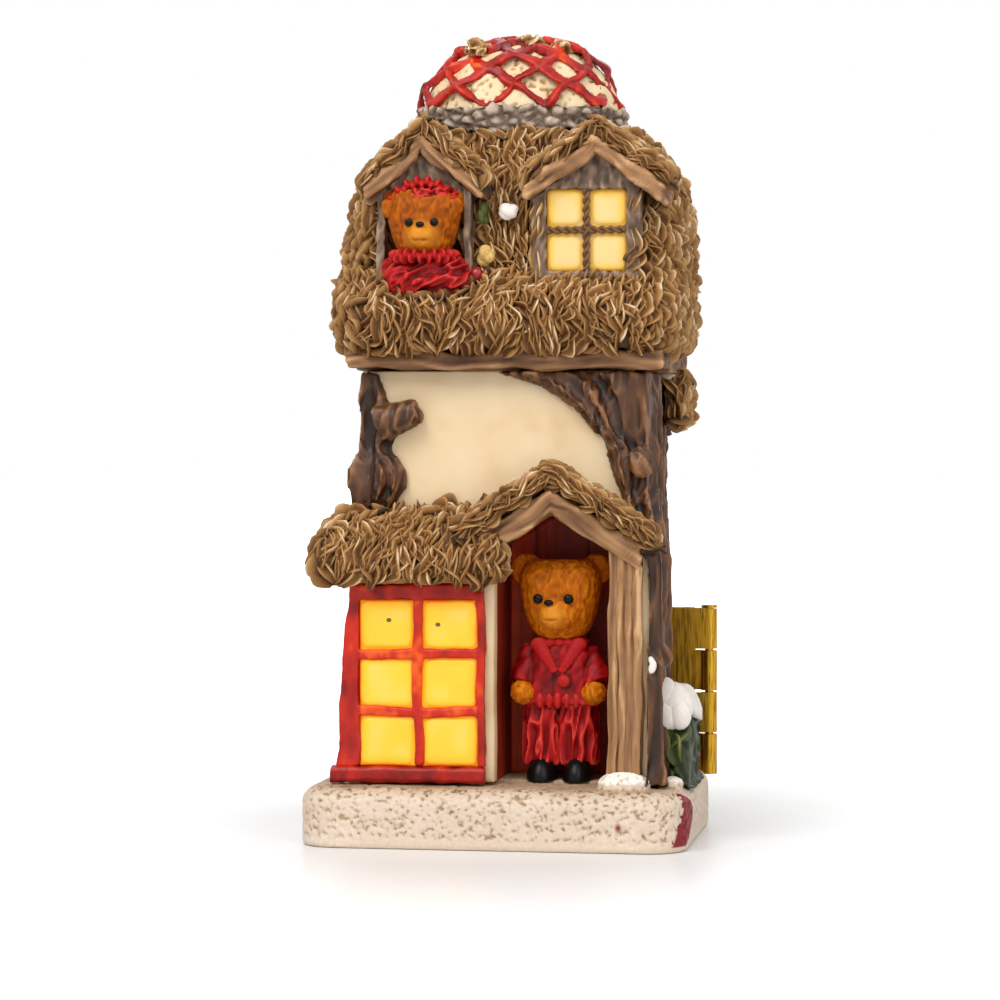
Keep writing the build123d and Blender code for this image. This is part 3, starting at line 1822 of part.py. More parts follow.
pieces = {
    "snow_base": make_snow_base,
    "house_shell": make_house_shell,
    "doorway_lining": make_doorway_lining,
    "shop_window_panes": make_shop_panes,
    "shop_window_frame": make_shop_frame,
    "shop_window_sill": make_shop_sill,
    "porch_post": make_porch_post,
    "porch_boards": make_porch_boards,
    "porch_thatch": make_porch_thatch,
    "bay_thatch": make_bay_thatch,
    "right_trunk": make_right_trunk,
    "left_trunk": make_left_trunk,
    "eave_plate": make_eave_plate,
    "eave_thatch": make_eave_thatch,
    "roof_thatch": make_roof_thatch,
    "left_dormer_frame": make_left_dormer_frame,
    "right_dormer_frame": make_right_dormer_frame,
    "left_dormer_boards": make_left_dormer_boards,
    "right_dormer_boards": make_right_dormer_boards,
    "left_dormer_thatch": make_left_dormer_thatch,
    "right_dormer_thatch": make_right_dormer_thatch,
    "dormer_panes": make_dormer_panes,
    "crown_wall": make_crown_wall,
    "crown_stones": make_crown_stones,
    "crown_lattice": make_crown_lattice,
    "crown_tuft": make_crown_tuft,
    "side_hood": make_side_hood,
    "shop_bear_head": make_bear_head,
    "shop_bear_jacket": bear_jacket_blank,
    "shop_bear_trousers": make_bear_trousers,
    "shop_bear_shoes": make_bear_shoes,
    "shop_bear_paws": make_bear_paws,
    "window_bear_head": make_cub_head,
    "window_bear_cap": cub_cap_blank,
    "window_bear_pyjama": cub_pyjama_blank,
    "shrub": make_shrub,
    "shrub_snow": make_shrub_snow,
    "hinge_house_leaf": make_hinge_house_leaf,
    "hinge_door_leaf": make_hinge_door_leaf,
    "hinge_pin": make_hinge_pin,
    "house_leaf_screws": make_house_leaf_screws,
    "door_leaf_screws": make_door_leaf_screws,
    "rear_door": make_rear_door,
    "house_magnet": make_house_magnet,
    "door_magnet": make_door_magnet,
    "battery_case": make_battery_case,
    "battery_lid": make_battery_lid,
    "battery_lid_screw": lid_screw,
    "coin_cells": make_coin_cells,
    "cell_contacts": make_cell_contacts,
    "slide_switch": make_slide_switch,
    "switch_knob": make_switch_knob,
    "lower_lamp_board": make_lower_lamp_board,
    "lower_lamps": make_lower_lamps,
    "upper_lamp_board": make_upper_lamp_board,
    "upper_lamp": make_upper_lamp,
    "lamp_leads": make_lamp_leads,
}


def main():
    """Builds every piece and writes it to its own STEP file."""
    os.makedirs("parts", exist_ok=True)
    for name, make in pieces.items():
        export_step(make(), os.path.join("parts", name + ".step"))


if __name__ == "__main__":
    main()
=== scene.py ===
"""A painted resin Christmas village house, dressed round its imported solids."""

import logging
import math
from dataclasses import dataclass, field
from enum import Enum
from itertools import product

import bmesh
import bpy
import numpy as np
from mathutils import Matrix, Vector


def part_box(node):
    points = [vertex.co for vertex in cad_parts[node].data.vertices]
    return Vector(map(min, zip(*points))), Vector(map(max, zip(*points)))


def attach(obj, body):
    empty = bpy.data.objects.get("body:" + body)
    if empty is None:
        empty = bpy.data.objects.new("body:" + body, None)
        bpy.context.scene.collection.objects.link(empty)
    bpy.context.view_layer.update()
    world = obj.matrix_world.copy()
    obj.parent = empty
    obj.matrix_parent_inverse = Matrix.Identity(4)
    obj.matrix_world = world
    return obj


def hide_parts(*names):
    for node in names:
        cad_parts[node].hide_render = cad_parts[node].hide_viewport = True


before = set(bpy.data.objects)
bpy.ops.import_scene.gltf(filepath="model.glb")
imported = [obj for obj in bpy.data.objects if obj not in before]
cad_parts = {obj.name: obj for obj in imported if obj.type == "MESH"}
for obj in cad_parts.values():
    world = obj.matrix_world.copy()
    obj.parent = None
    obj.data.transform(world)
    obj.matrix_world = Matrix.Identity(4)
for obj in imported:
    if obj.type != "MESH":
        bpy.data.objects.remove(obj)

LOG = logging.getLogger("village_house")
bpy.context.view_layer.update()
MM = 0.001
MERGE_DISTANCE = 0.002 * MM
SOFTENING_KEEPS = 0.4
SOFTENING_TAKES = 0.6
UP = np.array([0.0, 0.0, 1.0])

Colour = tuple[float, float, float]
Stops = tuple[tuple[float, Colour], ...]


def paint(red: int, green: int, blue: int) -> Colour:
    """A paint colour, mixed on a 0 to 255 scale, as linear light.

    Args:
        red: Red share of the mix.
        green: Green share of the mix.
        blue: Blue share of the mix.

    Returns:
        The colour in linear light.
    """
    shares = [channel / 255 for channel in (red, green, blue)]
    return tuple(s / 12.92 if s <= 0.04045 else ((s + 0.055) / 1.055) ** 2.4 for s in shares)


def wash_stops(*rows: tuple[float, int, int, int]) -> Stops:
    """The stops of a colour ramp, from the darkest hollow, partly painted shade, to the brightest crest,
    partly painted highlight.

    Args:
        rows: Place of each stop, then the red, green and blue of its paint.

    Returns:
        Place and colour of each stop.
    """
    return tuple((spot, paint(*mix)) for spot, *mix in rows)


class ClayNoise:
    """Seeded smooth noise over points, used to model clay."""

    TABLE = 256
    LAYER_SHIFT = 7.3
    CREST_GAIN = 2.2
    JITTER = 0.42
    AXIS_STEP = 57

    def __init__(self, seed: int) -> None:
        """Draws the noise tables.

        Args:
            seed: Fixed seed of the tables.
        """
        rng = np.random.default_rng(seed)
        self.order = rng.permutation(self.TABLE)
        self.heights = rng.uniform(-1, 1, self.TABLE)

    def value(self, points: np.ndarray) -> np.ndarray:
        """Smooth noise at points.

        Args:
            points: Places in lattice units, one row each.

        Returns:
            One value from -1 to 1 for each place.
        """
        cell = np.floor(points).astype(np.int64)
        part = points - cell
        ease = part * part * (3 - 2 * part)
        total = np.zeros(len(points))
        for corner in product((0, 1), repeat=3):
            key = np.zeros(len(points), np.int64)
            weight = np.ones(len(points))
            for axis, step in enumerate(corner):
                key = self.order[(key + cell[:, axis] + step) % self.TABLE]
                weight *= ease[:, axis] if step else 1 - ease[:, axis]
            total += self.heights[key] * weight
        return total

    def fractal(self, points: np.ndarray, octaves: int = 3) -> np.ndarray:
        """Layers of finer and weaker noise.

        Args:
            points: Places in lattice units of the first layer.
            octaves: How many layers are added.

        Returns:
            One value for each place, about -1 to 1.
        """
        total = np.zeros(len(points))
        size = 1.0
        for layer in range(octaves):
            total += self.value(points / size + self.LAYER_SHIFT * layer) * size
            size /= 2
        return total / (2 - size * 2)

    def lumps(self, points: np.ndarray, octaves: int = 3) -> np.ndarray:
        """Soft lumps, from about 0 in the hollows to 1 on the crests."""
        return 0.5 + 0.5 * self.fractal(points, octaves)

    def ridged(self, points: np.ndarray, octaves: int = 2) -> np.ndarray:
        """Sharp crests, from 0 in the hollows to 1 on the crests.

        Args:
            points: Places in lattice units of the first layer.
            octaves: How many layers are added.

        Returns:
            One value for each place.
        """
        return 1 - np.minimum(1, np.abs(self.fractal(points, octaves)) * self.CREST_GAIN)

    def cells(self, points: np.ndarray) -> np.ndarray:
        """Rounded cells, from 0 in the joints between them to about 1 in their middles.

        Args:
            points: Places in lattice units, one cell to a unit.

        Returns:
            One value for each place.
        """
        base = np.floor(points).astype(np.int64)
        nearest = np.full((len(points), 2), 9.0)
        for step in product((-1, 0, 1), repeat=3):
            cell = base + np.array(step)
            key = np.zeros(len(points), np.int64)
            for axis in range(3):
                key = self.order[(key + cell[:, axis]) % self.TABLE]
            picks = [(key + self.AXIS_STEP * axis) % self.TABLE for axis in range(3)]
            jitter = np.stack([self.heights[pick] for pick in picks], axis=1)
            far = np.linalg.norm(cell + 0.5 + self.JITTER * jitter - points, axis=1)
            nearest = np.sort(np.column_stack([nearest, far]), axis=1)[:, :2]
        return nearest[:, 1] - nearest[:, 0]


class Paint(Enum):
    """The finishes of the house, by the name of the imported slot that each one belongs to."""

    SNOW = "snow"
    PLASTER = "plaster"
    PLANKS = "planks"
    LIT_PANE = "lit_pane"
    RED_TIMBER = "red_timber"
    BROWN_TIMBER = "brown_timber"
    THATCH = "thatch"
    BARK = "bark"
    CROWN_PLASTER = "crown_plaster"
    STONE = "stone"
    FUR = "fur"
    RED_CLOTH = "red_cloth"
    BLACK_SHOE = "black_shoe"
    LEAF_GREEN = "leaf_green"
    BRASS = "brass"
    BRASS_SCREW = "brass_screw"
    HATCH = "hatch"
    STEEL = "steel"
    BLACK_PLASTIC = "black_plastic"
    BOARD = "board"
    LAMP = "lamp"
    LEAD = "lead"


@dataclass(frozen=True)
class WashPaint:
    """Hand paint: darker in the hollows, partly a wash and partly painted shade, a body colour, and lighter
    crests, partly dry-brush and partly painted highlight.
    """

    name: str
    stops: Stops
    roughness: float = 0.6
    mottle: float = 0.16
    mottle_size: float = 3.0 * MM
    specular: float = 0.35
    glow: float = 0.0
    accent: Colour | None = None

    def build(self) -> bpy.types.Material:
        """The finish as a material that reads the relief, tint and accent attributes.

        Returns:
            The material.
        """
        material, tree, shader = new_material(self.name)
        coords = tree.nodes.new("ShaderNodeTexCoord")
        noise = tree.nodes.new("ShaderNodeTexNoise")
        noise.inputs["Scale"].default_value = 1 / self.mottle_size
        noise.inputs["Detail"].default_value = 4.0
        tree.links.new(coords.outputs["Object"], noise.inputs["Vector"])
        spread = math_node(tree, "MULTIPLY_ADD", noise.outputs["Fac"], self.mottle * 2, -self.mottle)
        total = math_node(tree, "ADD", attribute_value(tree, "relief"), spread)
        total = math_node(tree, "ADD", total, attribute_value(tree, "tint"))
        ramp = colour_ramp(tree, self.stops)
        tree.links.new(total, ramp.inputs["Fac"])
        colour = ramp.outputs["Color"]
        if self.accent:
            colour = self.accented(tree, colour)
        tree.links.new(colour, shader.inputs["Base Color"])
        if self.glow:
            tree.links.new(colour, shader.inputs["Emission Color"])
            shader.inputs["Emission Strength"].default_value = self.glow
        shader.inputs["Roughness"].default_value = self.roughness
        shader.inputs["Specular IOR Level"].default_value = self.specular
        return material

    def accented(self, tree: bpy.types.NodeTree, colour: bpy.types.NodeSocket) -> bpy.types.NodeSocket:
        """Lays the accent colour over the wash where the accent attribute is high.

        Args:
            tree: The material's tree.
            colour: The washed colour.

        Returns:
            The mixed colour.
        """
        mix = tree.nodes.new("ShaderNodeMix")
        mix.data_type = "RGBA"
        colours = [socket for socket in mix.inputs if socket.type == "RGBA"]
        colours[1].default_value = (*self.accent, 1)
        tree.links.new(attribute_value(tree, "accent"), mix.inputs[0])
        tree.links.new(colour, colours[0])
        return next(socket for socket in mix.outputs if socket.type == "RGBA")


@dataclass(frozen=True)
class PlainPaint:
    """One even colour."""

    name: str
    colour: Colour
    roughness: float = 0.5
    metallic: float = 0.0
    glow: float = 0.0
    specular: float = 0.5

    def build(self) -> bpy.types.Material:
        """The finish as a material with its values on the shader's own sockets.

        Returns:
            The material.
        """
        material, _, shader = new_material(self.name)
        shader.inputs["Base Color"].default_value = (*self.colour, 1)
        shader.inputs["Roughness"].default_value = self.roughness
        shader.inputs["Metallic"].default_value = self.metallic
        shader.inputs["Specular IOR Level"].default_value = self.specular
        if self.glow:
            shader.inputs["Emission Color"].default_value = (*self.colour, 1)
            shader.inputs["Emission Strength"].default_value = self.glow
        return material


@dataclass(frozen=True)
class ScratchedBrass:
    """Yellow brass with fine upright scratches and darker tarnish."""

    name: str
    bright: Colour
    tarnish: Colour
    scratch_size: float = 0.35 * MM
    drawn_out: float = 0.08
    roughness: float = 0.34

    def build(self) -> bpy.types.Material:
        """The finish as a metal material with a drawn-out noise.

        Returns:
            The material.
        """
        material, tree, shader = new_material(self.name)
        coords = tree.nodes.new("ShaderNodeTexCoord")
        mapping = tree.nodes.new("ShaderNodeMapping")
        mapping.inputs["Scale"].default_value = (1.0, 1.0, self.drawn_out)
        noise = tree.nodes.new("ShaderNodeTexNoise")
        noise.inputs["Scale"].default_value = 1 / self.scratch_size
        noise.inputs["Detail"].default_value = 6.0
        tree.links.new(coords.outputs["Object"], mapping.inputs["Vector"])
        tree.links.new(mapping.outputs["Vector"], noise.inputs["Vector"])
        ramp = colour_ramp(tree, ((0.32, self.tarnish), (0.55, self.bright)))
        tree.links.new(noise.outputs["Fac"], ramp.inputs["Fac"])
        tree.links.new(ramp.outputs["Color"], shader.inputs["Base Color"])
        shader.inputs["Metallic"].default_value = 1.0
        shader.inputs["Roughness"].default_value = self.roughness
        return material


Finish = WashPaint | PlainPaint | ScratchedBrass


def new_material(name: str) -> tuple[bpy.types.Material, bpy.types.NodeTree, bpy.types.Node]:
    """A node material with its principled shader.

    Args:
        name: The material's name.

    Returns:
        The material, its tree and its shader node.
    """
    material = bpy.data.materials.new(name)
    material.use_nodes = True
    tree = material.node_tree
    return material, tree, tree.nodes["Principled BSDF"]


def attribute_value(tree: bpy.types.NodeTree, name: str) -> bpy.types.NodeSocket:
    """Adds a node that reads one attribute of the surface.

    Args:
        tree: The material's tree.
        name: Name of the attribute.

    Returns:
        The attribute's value.
    """
    node = tree.nodes.new("ShaderNodeAttribute")
    node.attribute_name = name
    return node.outputs["Fac"]


def math_node(
    tree: bpy.types.NodeTree, operation: str, *values: float | bpy.types.NodeSocket
) -> bpy.types.NodeSocket:
    """Adds one math node to a tree.

    Args:
        tree: The tree.
        operation: Blender's name of the operation.
        values: Numbers, or sockets to link, in input order.

    Returns:
        The node's output.
    """
    node = tree.nodes.new("ShaderNodeMath")
    node.operation = operation
    for index, value in enumerate(values):
        if isinstance(value, bpy.types.NodeSocket):
            tree.links.new(value, node.inputs[index])
        else:
            node.inputs[index].default_value = value
    return node.outputs[0]


def colour_ramp(tree: bpy.types.NodeTree, stops: Stops) -> bpy.types.Node:
    """Adds a colour ramp to a tree.

    Args:
        tree: The tree.
        stops: Place and colour of each stop.

    Returns:
        The ramp node.
    """
    node = tree.nodes.new("ShaderNodeValToRGB")
    elements = node.color_ramp.elements
    while len(elements) < len(stops):
        elements.new(1.0)
    for element, (place, colour) in zip(elements, stops):
        element.position = place
        element.color = (*colour, 1)
    return node


THATCH_STOPS = wash_stops(
    (0.0, 30, 16, 5),
    (0.18, 66, 40, 15),
    (0.4, 110, 72, 33),
    (0.62, 146, 102, 53),
    (0.84, 182, 139, 85),
    (1.0, 238, 220, 186),
)
BARK_STOPS = wash_stops(
    (0.0, 24, 12, 6),
    (0.4, 63, 37, 18),
    (0.72, 95, 59, 32),
    (0.95, 140, 97, 62),
)
FINISHES: dict[Paint, Finish] = {
    Paint.SNOW: WashPaint(
        "snow_paint",
        wash_stops(
            (0.0, 118, 90, 62),
            (0.3, 170, 143, 114),
            (0.52, 203, 181, 157),
            (0.86, 220, 201, 181),
            (1.0, 244, 236, 228),
        ),
        mottle=0.24,
        mottle_size=0.7 * MM,
        accent=paint(128, 22, 34),
    ),
    Paint.PLASTER: WashPaint(
        "plaster_paint",
        wash_stops(
            (0.0, 140, 101, 58),
            (0.35, 202, 168, 118),
            (0.6, 226, 199, 157),
            (1.0, 234, 213, 178),
        ),
        mottle=0.14,
        mottle_size=7 * MM,
    ),
    # The bright orange end of the planks' ramp is reached where the planks are painted lit from the shop
    # window.
    Paint.PLANKS: WashPaint(
        "plank_paint",
        wash_stops((0.0, 66, 14, 2), (0.5, 158, 43, 8), (1.0, 253, 88, 9)),
        roughness=0.55,
        mottle=0.12,
    ),
    # The lit panes glow with painted lamp light, deep amber at the dark end of the ramp and pale yellow at
    # the bright end.
    Paint.LIT_PANE: WashPaint(
        "lit_pane",
        wash_stops(
            (0.0, 200, 50, 8),
            (0.14, 226, 120, 14),
            (0.3, 234, 166, 30),
            (0.62, 230, 180, 50),
            (0.85, 226, 190, 106),
        ),
        mottle=0.08,
        mottle_size=5 * MM,
        roughness=0.4,
        glow=0.34,
    ),
    Paint.RED_TIMBER: WashPaint(
        "red_timber_paint",
        wash_stops((0.0, 72, 6, 2), (0.45, 154, 17, 7), (0.8, 198, 38, 10), (1.0, 234, 92, 20)),
        roughness=0.42,
        mottle=0.14,
    ),
    Paint.BROWN_TIMBER: WashPaint(
        "brown_timber_paint",
        wash_stops(
            (0.0, 38, 21, 10),
            (0.3, 94, 61, 36),
            (0.6, 138, 98, 63),
            (0.85, 168, 124, 83),
            (1.0, 202, 160, 114),
        ),
        mottle=0.12,
    ),
    Paint.THATCH: WashPaint("thatch_paint", THATCH_STOPS, mottle=0.1, mottle_size=1.4 * MM, roughness=0.7),
    Paint.BARK: WashPaint("bark_paint", BARK_STOPS, mottle=0.1, roughness=0.42),
    Paint.CROWN_PLASTER: WashPaint(
        "crown_paint",
        wash_stops((0.0, 147, 104, 65), (0.4, 209, 177, 131), (0.7, 233, 208, 166), (1.0, 242, 223, 186)),
        mottle=0.12,
    ),
    Paint.STONE: WashPaint(
        "stone_paint",
        wash_stops((0.0, 66, 49, 38), (0.4, 140, 121, 104), (0.7, 184, 165, 147), (1.0, 214, 196, 176)),
        mottle=0.16,
    ),
    Paint.FUR: WashPaint(
        "fur_paint",
        wash_stops(
            (0.0, 66, 22, 0),
            (0.35, 144, 66, 0),
            (0.6, 188, 98, 0),
            (0.82, 216, 134, 14),
            (1.0, 244, 184, 66),
        ),
        roughness=0.6,
        mottle=0.04,
        mottle_size=1.2 * MM,
        specular=0.15,
        accent=paint(222, 144, 40),
    ),
    Paint.RED_CLOTH: WashPaint(
        "red_cloth_paint",
        wash_stops((0.0, 52, 0, 2), (0.4, 128, 5, 9), (0.72, 172, 16, 18), (1.0, 220, 72, 56)),
        roughness=0.5,
        mottle=0.08,
        specular=0.2,
    ),
    Paint.BLACK_SHOE: PlainPaint("shoe_black", paint(12, 10, 10), 0.3, specular=0.16),
    Paint.LEAF_GREEN: WashPaint(
        "shrub_green",
        wash_stops((0.0, 18, 20, 8), (0.45, 52, 62, 28), (0.8, 88, 96, 46), (1.0, 170, 162, 100)),
        roughness=0.5,
        specular=0.22,
    ),
    Paint.BRASS: ScratchedBrass("scratched_brass", paint(206, 158, 50), paint(116, 82, 24)),
    Paint.BRASS_SCREW: PlainPaint("screw_brass", paint(196, 156, 66), 0.3, 1.0),
    Paint.HATCH: WashPaint("hatch_paint", BARK_STOPS, mottle=0.1, roughness=0.5),
    Paint.STEEL: PlainPaint("plated_steel", paint(196, 196, 200), 0.3, 1.0),
    Paint.BLACK_PLASTIC: PlainPaint("black_plastic", paint(30, 30, 32), 0.55),
    Paint.BOARD: PlainPaint("lamp_board", paint(24, 92, 48), 0.5),
    Paint.LAMP: PlainPaint("warm_lamp", paint(255, 222, 140), 0.2, glow=1.0),
    Paint.LEAD: PlainPaint("red_lead", paint(160, 24, 20), 0.5),
}

WEATHERED = WashPaint(
    "weathered_timber_paint",
    wash_stops((0.0, 28, 20, 15), (0.35, 80, 61, 47), (0.65, 118, 94, 75), (1.0, 172, 146, 120)),
    mottle=0.14,
    mottle_size=1.6 * MM,
)
ROSE = WashPaint(
    "rose_paint",
    wash_stops((0.0, 104, 70, 24), (0.5, 188, 144, 66), (1.0, 240, 220, 152)),
    mottle=0.3,
    mottle_size=0.8 * MM,
)
# The dormer's panes glow with painted lamp light, paler than the shop window's.
PALE_GLOWING_GLASS = WashPaint(
    "pale_glass_paint",
    wash_stops((0.0, 198, 92, 14), (0.26, 230, 166, 40), (0.5, 228, 182, 76), (0.8, 224, 190, 126)),
    mottle=0.14,
    mottle_size=4 * MM,
    roughness=0.4,
    glow=0.21,
)
FRESH_SNOW = WashPaint(
    "fresh_snow_paint",
    wash_stops((0.0, 168, 150, 132), (0.4, 222, 211, 200), (0.8, 243, 236, 229)),
    mottle=0.06,
)
BERRY = PlainPaint("berry_red", paint(150, 20, 30), 0.3)


class Paintbox:
    """Builds each finish once and hands it out."""

    def __init__(self) -> None:
        """Starts with an empty box."""
        self.made: dict[str, bpy.types.Material] = {}

    def __call__(self, name: Paint) -> bpy.types.Material:
        """The material of a finish of the house."""
        return self.mix(FINISHES[name])

    def mix(self, finish: Finish) -> bpy.types.Material:
        """The material of any finish, built on first use.

        Args:
            finish: The finish.

        Returns:
            Its material.
        """
        if finish.name not in self.made:
            self.made[finish.name] = finish.build()
        return self.made[finish.name]

    def dress(
        self,
        obj: bpy.types.Object,
        slot: Paint,
        nodes: tuple[str, ...] = (),
        finish: Finish | None = None,
        body: str = "house",
    ) -> bpy.types.Object:
        """Paints a modelled piece and hangs it on its body.

        Args:
            obj: The piece.
            slot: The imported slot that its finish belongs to.
            nodes: Nodes that it stands for.
            finish: Its finish, where that is not the slot's own.
            body: The body that it moves with.

        Returns:
            The piece.
        """
        material = self.mix(finish) if finish else self(slot)
        return place(finish_piece(obj, material), body, slot, nodes)


def node_mesh(name: str, nodes: tuple[str, ...]) -> bpy.types.Mesh:
    """Copies the solids of some nodes and merges their loose triangles.

    Args:
        name: Name of the new mesh.
        nodes: Nodes to copy.

    Returns:
        The mesh, in the shared frame.
    """
    work = bmesh.new()
    for node in nodes:
        work.from_mesh(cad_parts[node].data)
    bmesh.ops.remove_doubles(work, verts=work.verts, dist=MERGE_DISTANCE)
    mesh = bpy.data.meshes.new(name)
    work.to_mesh(mesh)
    work.free()
    mesh.materials.clear()
    return mesh


def new_object(name: str, mesh: bpy.types.Mesh) -> bpy.types.Object:
    """Puts a mesh into the scene, at the origin.

    Args:
        name: Name of the object.
        mesh: Its mesh.

    Returns:
        The object.
    """
    obj = bpy.data.objects.new(name, mesh)
    bpy.context.scene.collection.objects.link(obj)
    return obj


def baked(obj: bpy.types.Object) -> bpy.types.Object:
    """Turns an object's modifiers into a plain mesh.

    Args:
        obj: The object.

    Returns:
        The same object with its evaluated mesh and no modifier.
    """
    graph = bpy.context.evaluated_depsgraph_get()
    mesh = bpy.data.meshes.new_from_object(obj.evaluated_get(graph))
    obj.modifiers.clear()
    old = obj.data
    obj.data = mesh
    mesh.name = obj.name
    bpy.data.meshes.remove(old)
    return obj


def clay_copy(name: str, nodes: tuple[str, ...], voxel: float, smooth: int = 0) -> bpy.types.Object:
    """An even clay skin over the solids of some nodes, ready to be modelled.

    Args:
        name: Name of the new piece.
        nodes: Nodes that the piece stands for.
        voxel: Size of the skin's faces.
        smooth: How many smoothing passes soften its edges.

    Returns:
        The new piece.
    """
    return clay_skin(new_object(name, node_mesh(name, nodes)), voxel, smooth)


def clay_skin(obj: bpy.types.Object, voxel: float, smooth: int = 0) -> bpy.types.Object:
    """Gives an object an even voxel skin.

    Args:
        obj: The object, whose shells may overlap.
        voxel: Size of the skin's faces.
        smooth: How many smoothing passes soften its edges.

    Returns:
        The same object.
    """
    remesh = obj.modifiers.new("skin", "REMESH")
    remesh.mode = "VOXEL"
    remesh.voxel_size = voxel
    if smooth:
        soften = obj.modifiers.new("soften", "SMOOTH")
        soften.factor = 0.5
        soften.iterations = smooth
    return baked(obj)


def points_of(mesh: bpy.types.Mesh) -> np.ndarray:
    """Reads a mesh's points.

    Args:
        mesh: The mesh.

    Returns:
        One row for each point.
    """
    flat = np.empty(len(mesh.vertices) * 3)
    mesh.vertices.foreach_get("co", flat)
    return flat.reshape(-1, 3)


def normals_of(mesh: bpy.types.Mesh) -> np.ndarray:
    """Reads a mesh's point normals.

    Args:
        mesh: The mesh.

    Returns:
        One row for each point.
    """
    flat = np.empty(len(mesh.vertices) * 3, np.float32)
    mesh.vertex_normals.foreach_get("vector", flat)
    return flat.reshape(-1, 3).astype(float)


def move(mesh: bpy.types.Mesh, points: np.ndarray) -> None:
    """Moves a mesh's points.

    Args:
        mesh: The mesh.
        points: One row for each point.
    """
    mesh.vertices.foreach_set("co", points.ravel())
    mesh.update()


def within(points: np.ndarray, low: np.ndarray, high: np.ndarray) -> np.ndarray:
    """Which points lie inside a box."""
    return np.all((points > low) & (points < high), axis=1)


def store(mesh: bpy.types.Mesh, name: str, values: np.ndarray | float) -> None:
    """Keeps one number or vector for each point of a mesh.

    Args:
        mesh: The mesh.
        name: Name of the attribute.
        values: One value, or one row of three, for each point, or one value for all.
    """
    if np.ndim(values) == 0:
        values = np.full(len(mesh.vertices), values)
    kind = "FLOAT" if values.ndim == 1 else "FLOAT_VECTOR"
    layer = mesh.attributes.get(name) or mesh.attributes.new(name, kind, "POINT")
    layer.data.foreach_set("value" if kind == "FLOAT" else "vector", values.astype(np.float32).ravel())


def crests(mesh: bpy.types.Mesh, passes: int) -> np.ndarray:
    """How far each point stands above the mesh's own smoothed form.

    Args:
        mesh: The mesh.
        passes: How many smoothing passes make the smoothed form.

    Returns:
        One height for each point, below zero in hollows.
    """
    count = len(mesh.vertices)
    ends = np.empty(len(mesh.edges) * 2, np.int32)
    mesh.edges.foreach_get("vertices", ends)
    first, second = ends[::2], ends[1::2]
    degree = np.maximum(1, np.bincount(ends, minlength=count))
    points = points_of(mesh)
    soft = points.copy()
    for _ in range(passes):
        for axis in range(3):
            line = soft[:, axis]
            total = np.bincount(first, line[second], count) + np.bincount(second, line[first], count)
            soft[:, axis] = SOFTENING_KEEPS * line + SOFTENING_TAKES * total / degree
    return np.sum((points - soft) * normals_of(mesh), axis=1)


def model_clay(
    obj: bpy.types.Object,
    depth: float,
    relief: np.ndarray,
    lift: float = 0.5,
    wash: float = 0.0,
    passes: int = 24,
) -> bpy.types.Object:
    """Presses a relief into an object's skin and keeps it as the relief attribute.

    Args:
        obj: The object.
        depth: How far the relief spans, from hollow to crest.
        relief: One height for each point, from 0 in the hollows to 1 on the crests.
        lift: The relief value that stays in place.
        wash: Height of the form's own crests that takes the paint from hollow to crest, darker in hollows as
            partly painted shade and lighter on crests as partly painted highlight.
        passes: How broad the crests are that the wash finds.

    Returns:
        The same object.
    """
    mesh = obj.data
    relief = np.clip(relief, 0, 1)
    move(mesh, points_of(mesh) + normals_of(mesh) * ((relief - lift) * depth)[:, None])
    # Paint follows the form's own crests: darker in its hollows, partly wash and partly painted shade,
    # lighter on its crests, partly dry-brush and partly painted highlight.
    if wash:
        relief = np.clip(0.5 * relief + 0.25 + 0.5 * crests(mesh, passes) / wash, 0, 1)
    store(mesh, "relief", relief)
    return obj


def waver(obj: bpy.types.Object, noise: ClayNoise, size: float, reach: float) -> bpy.types.Object:
    """Bends a piece gently out of true, as a hand would shape it.

    Args:
        obj: The piece.
        noise: Noise of the bends.
        size: How long one bend is.
        reach: How far a point moves at most along each axis.

    Returns:
        The same piece.
    """
    points = points_of(obj.data)
    shifts = [noise.value(points / size + shift) for shift in (3.1, 47.9, 90.3)]
    move(obj.data, points + reach * np.stack(shifts, axis=1))
    return obj


def front_of(mesh: bpy.types.Mesh, x: float, z: float, reach: float = 0.6 * MM) -> float:
    """Where a line along +Y from the front first meets a mesh.

    Args:
        mesh: The mesh.
        x: Where the line runs across.
        z: How high the line runs.
        reach: How near a point counts as on the line.

    Returns:
        The y of the nearest point to the front.
    """
    points = points_of(mesh)
    near = (np.abs(points[:, 0] - x) < reach) & (np.abs(points[:, 2] - z) < reach)
    return float(points[near, 1].min()) if near.any() else float(points[:, 1].min())


def place(obj: bpy.types.Object, body: str, slot: Paint, nodes: tuple[str, ...] = ()) -> bpy.types.Object:
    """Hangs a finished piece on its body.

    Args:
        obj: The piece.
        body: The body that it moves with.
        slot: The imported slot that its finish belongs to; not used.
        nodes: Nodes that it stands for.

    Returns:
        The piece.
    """
    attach(obj, body)
    if nodes:
        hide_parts(*nodes)
    LOG.info("%s: %d faces", obj.name, len(obj.data.polygons))
    return obj


def finish_piece(obj: bpy.types.Object, material: bpy.types.Material) -> bpy.types.Object:
    """Gives a piece one material and smooth faces.

    Args:
        obj: The piece.
        material: Its finish.

    Returns:
        The piece.
    """
    mesh = obj.data
    mesh.materials.clear()
    mesh.materials.append(material)
    mesh.polygons.foreach_set("use_smooth", np.ones(len(mesh.polygons), bool))
    return obj


def dress_node(node: str, material: bpy.types.Material, relief: float = 0.55) -> None:
    """Paints a node's own mesh, which keeps its CAD shape.

    Args:
        node: The node.
        material: Its finish.
        relief: The relief that the finish reads all over it.
    """
    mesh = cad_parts[node].data
    mesh.materials.clear()
    mesh.materials.append(material)
    store(mesh, "relief", relief)
    LOG.info("%s: painted as it is", node)


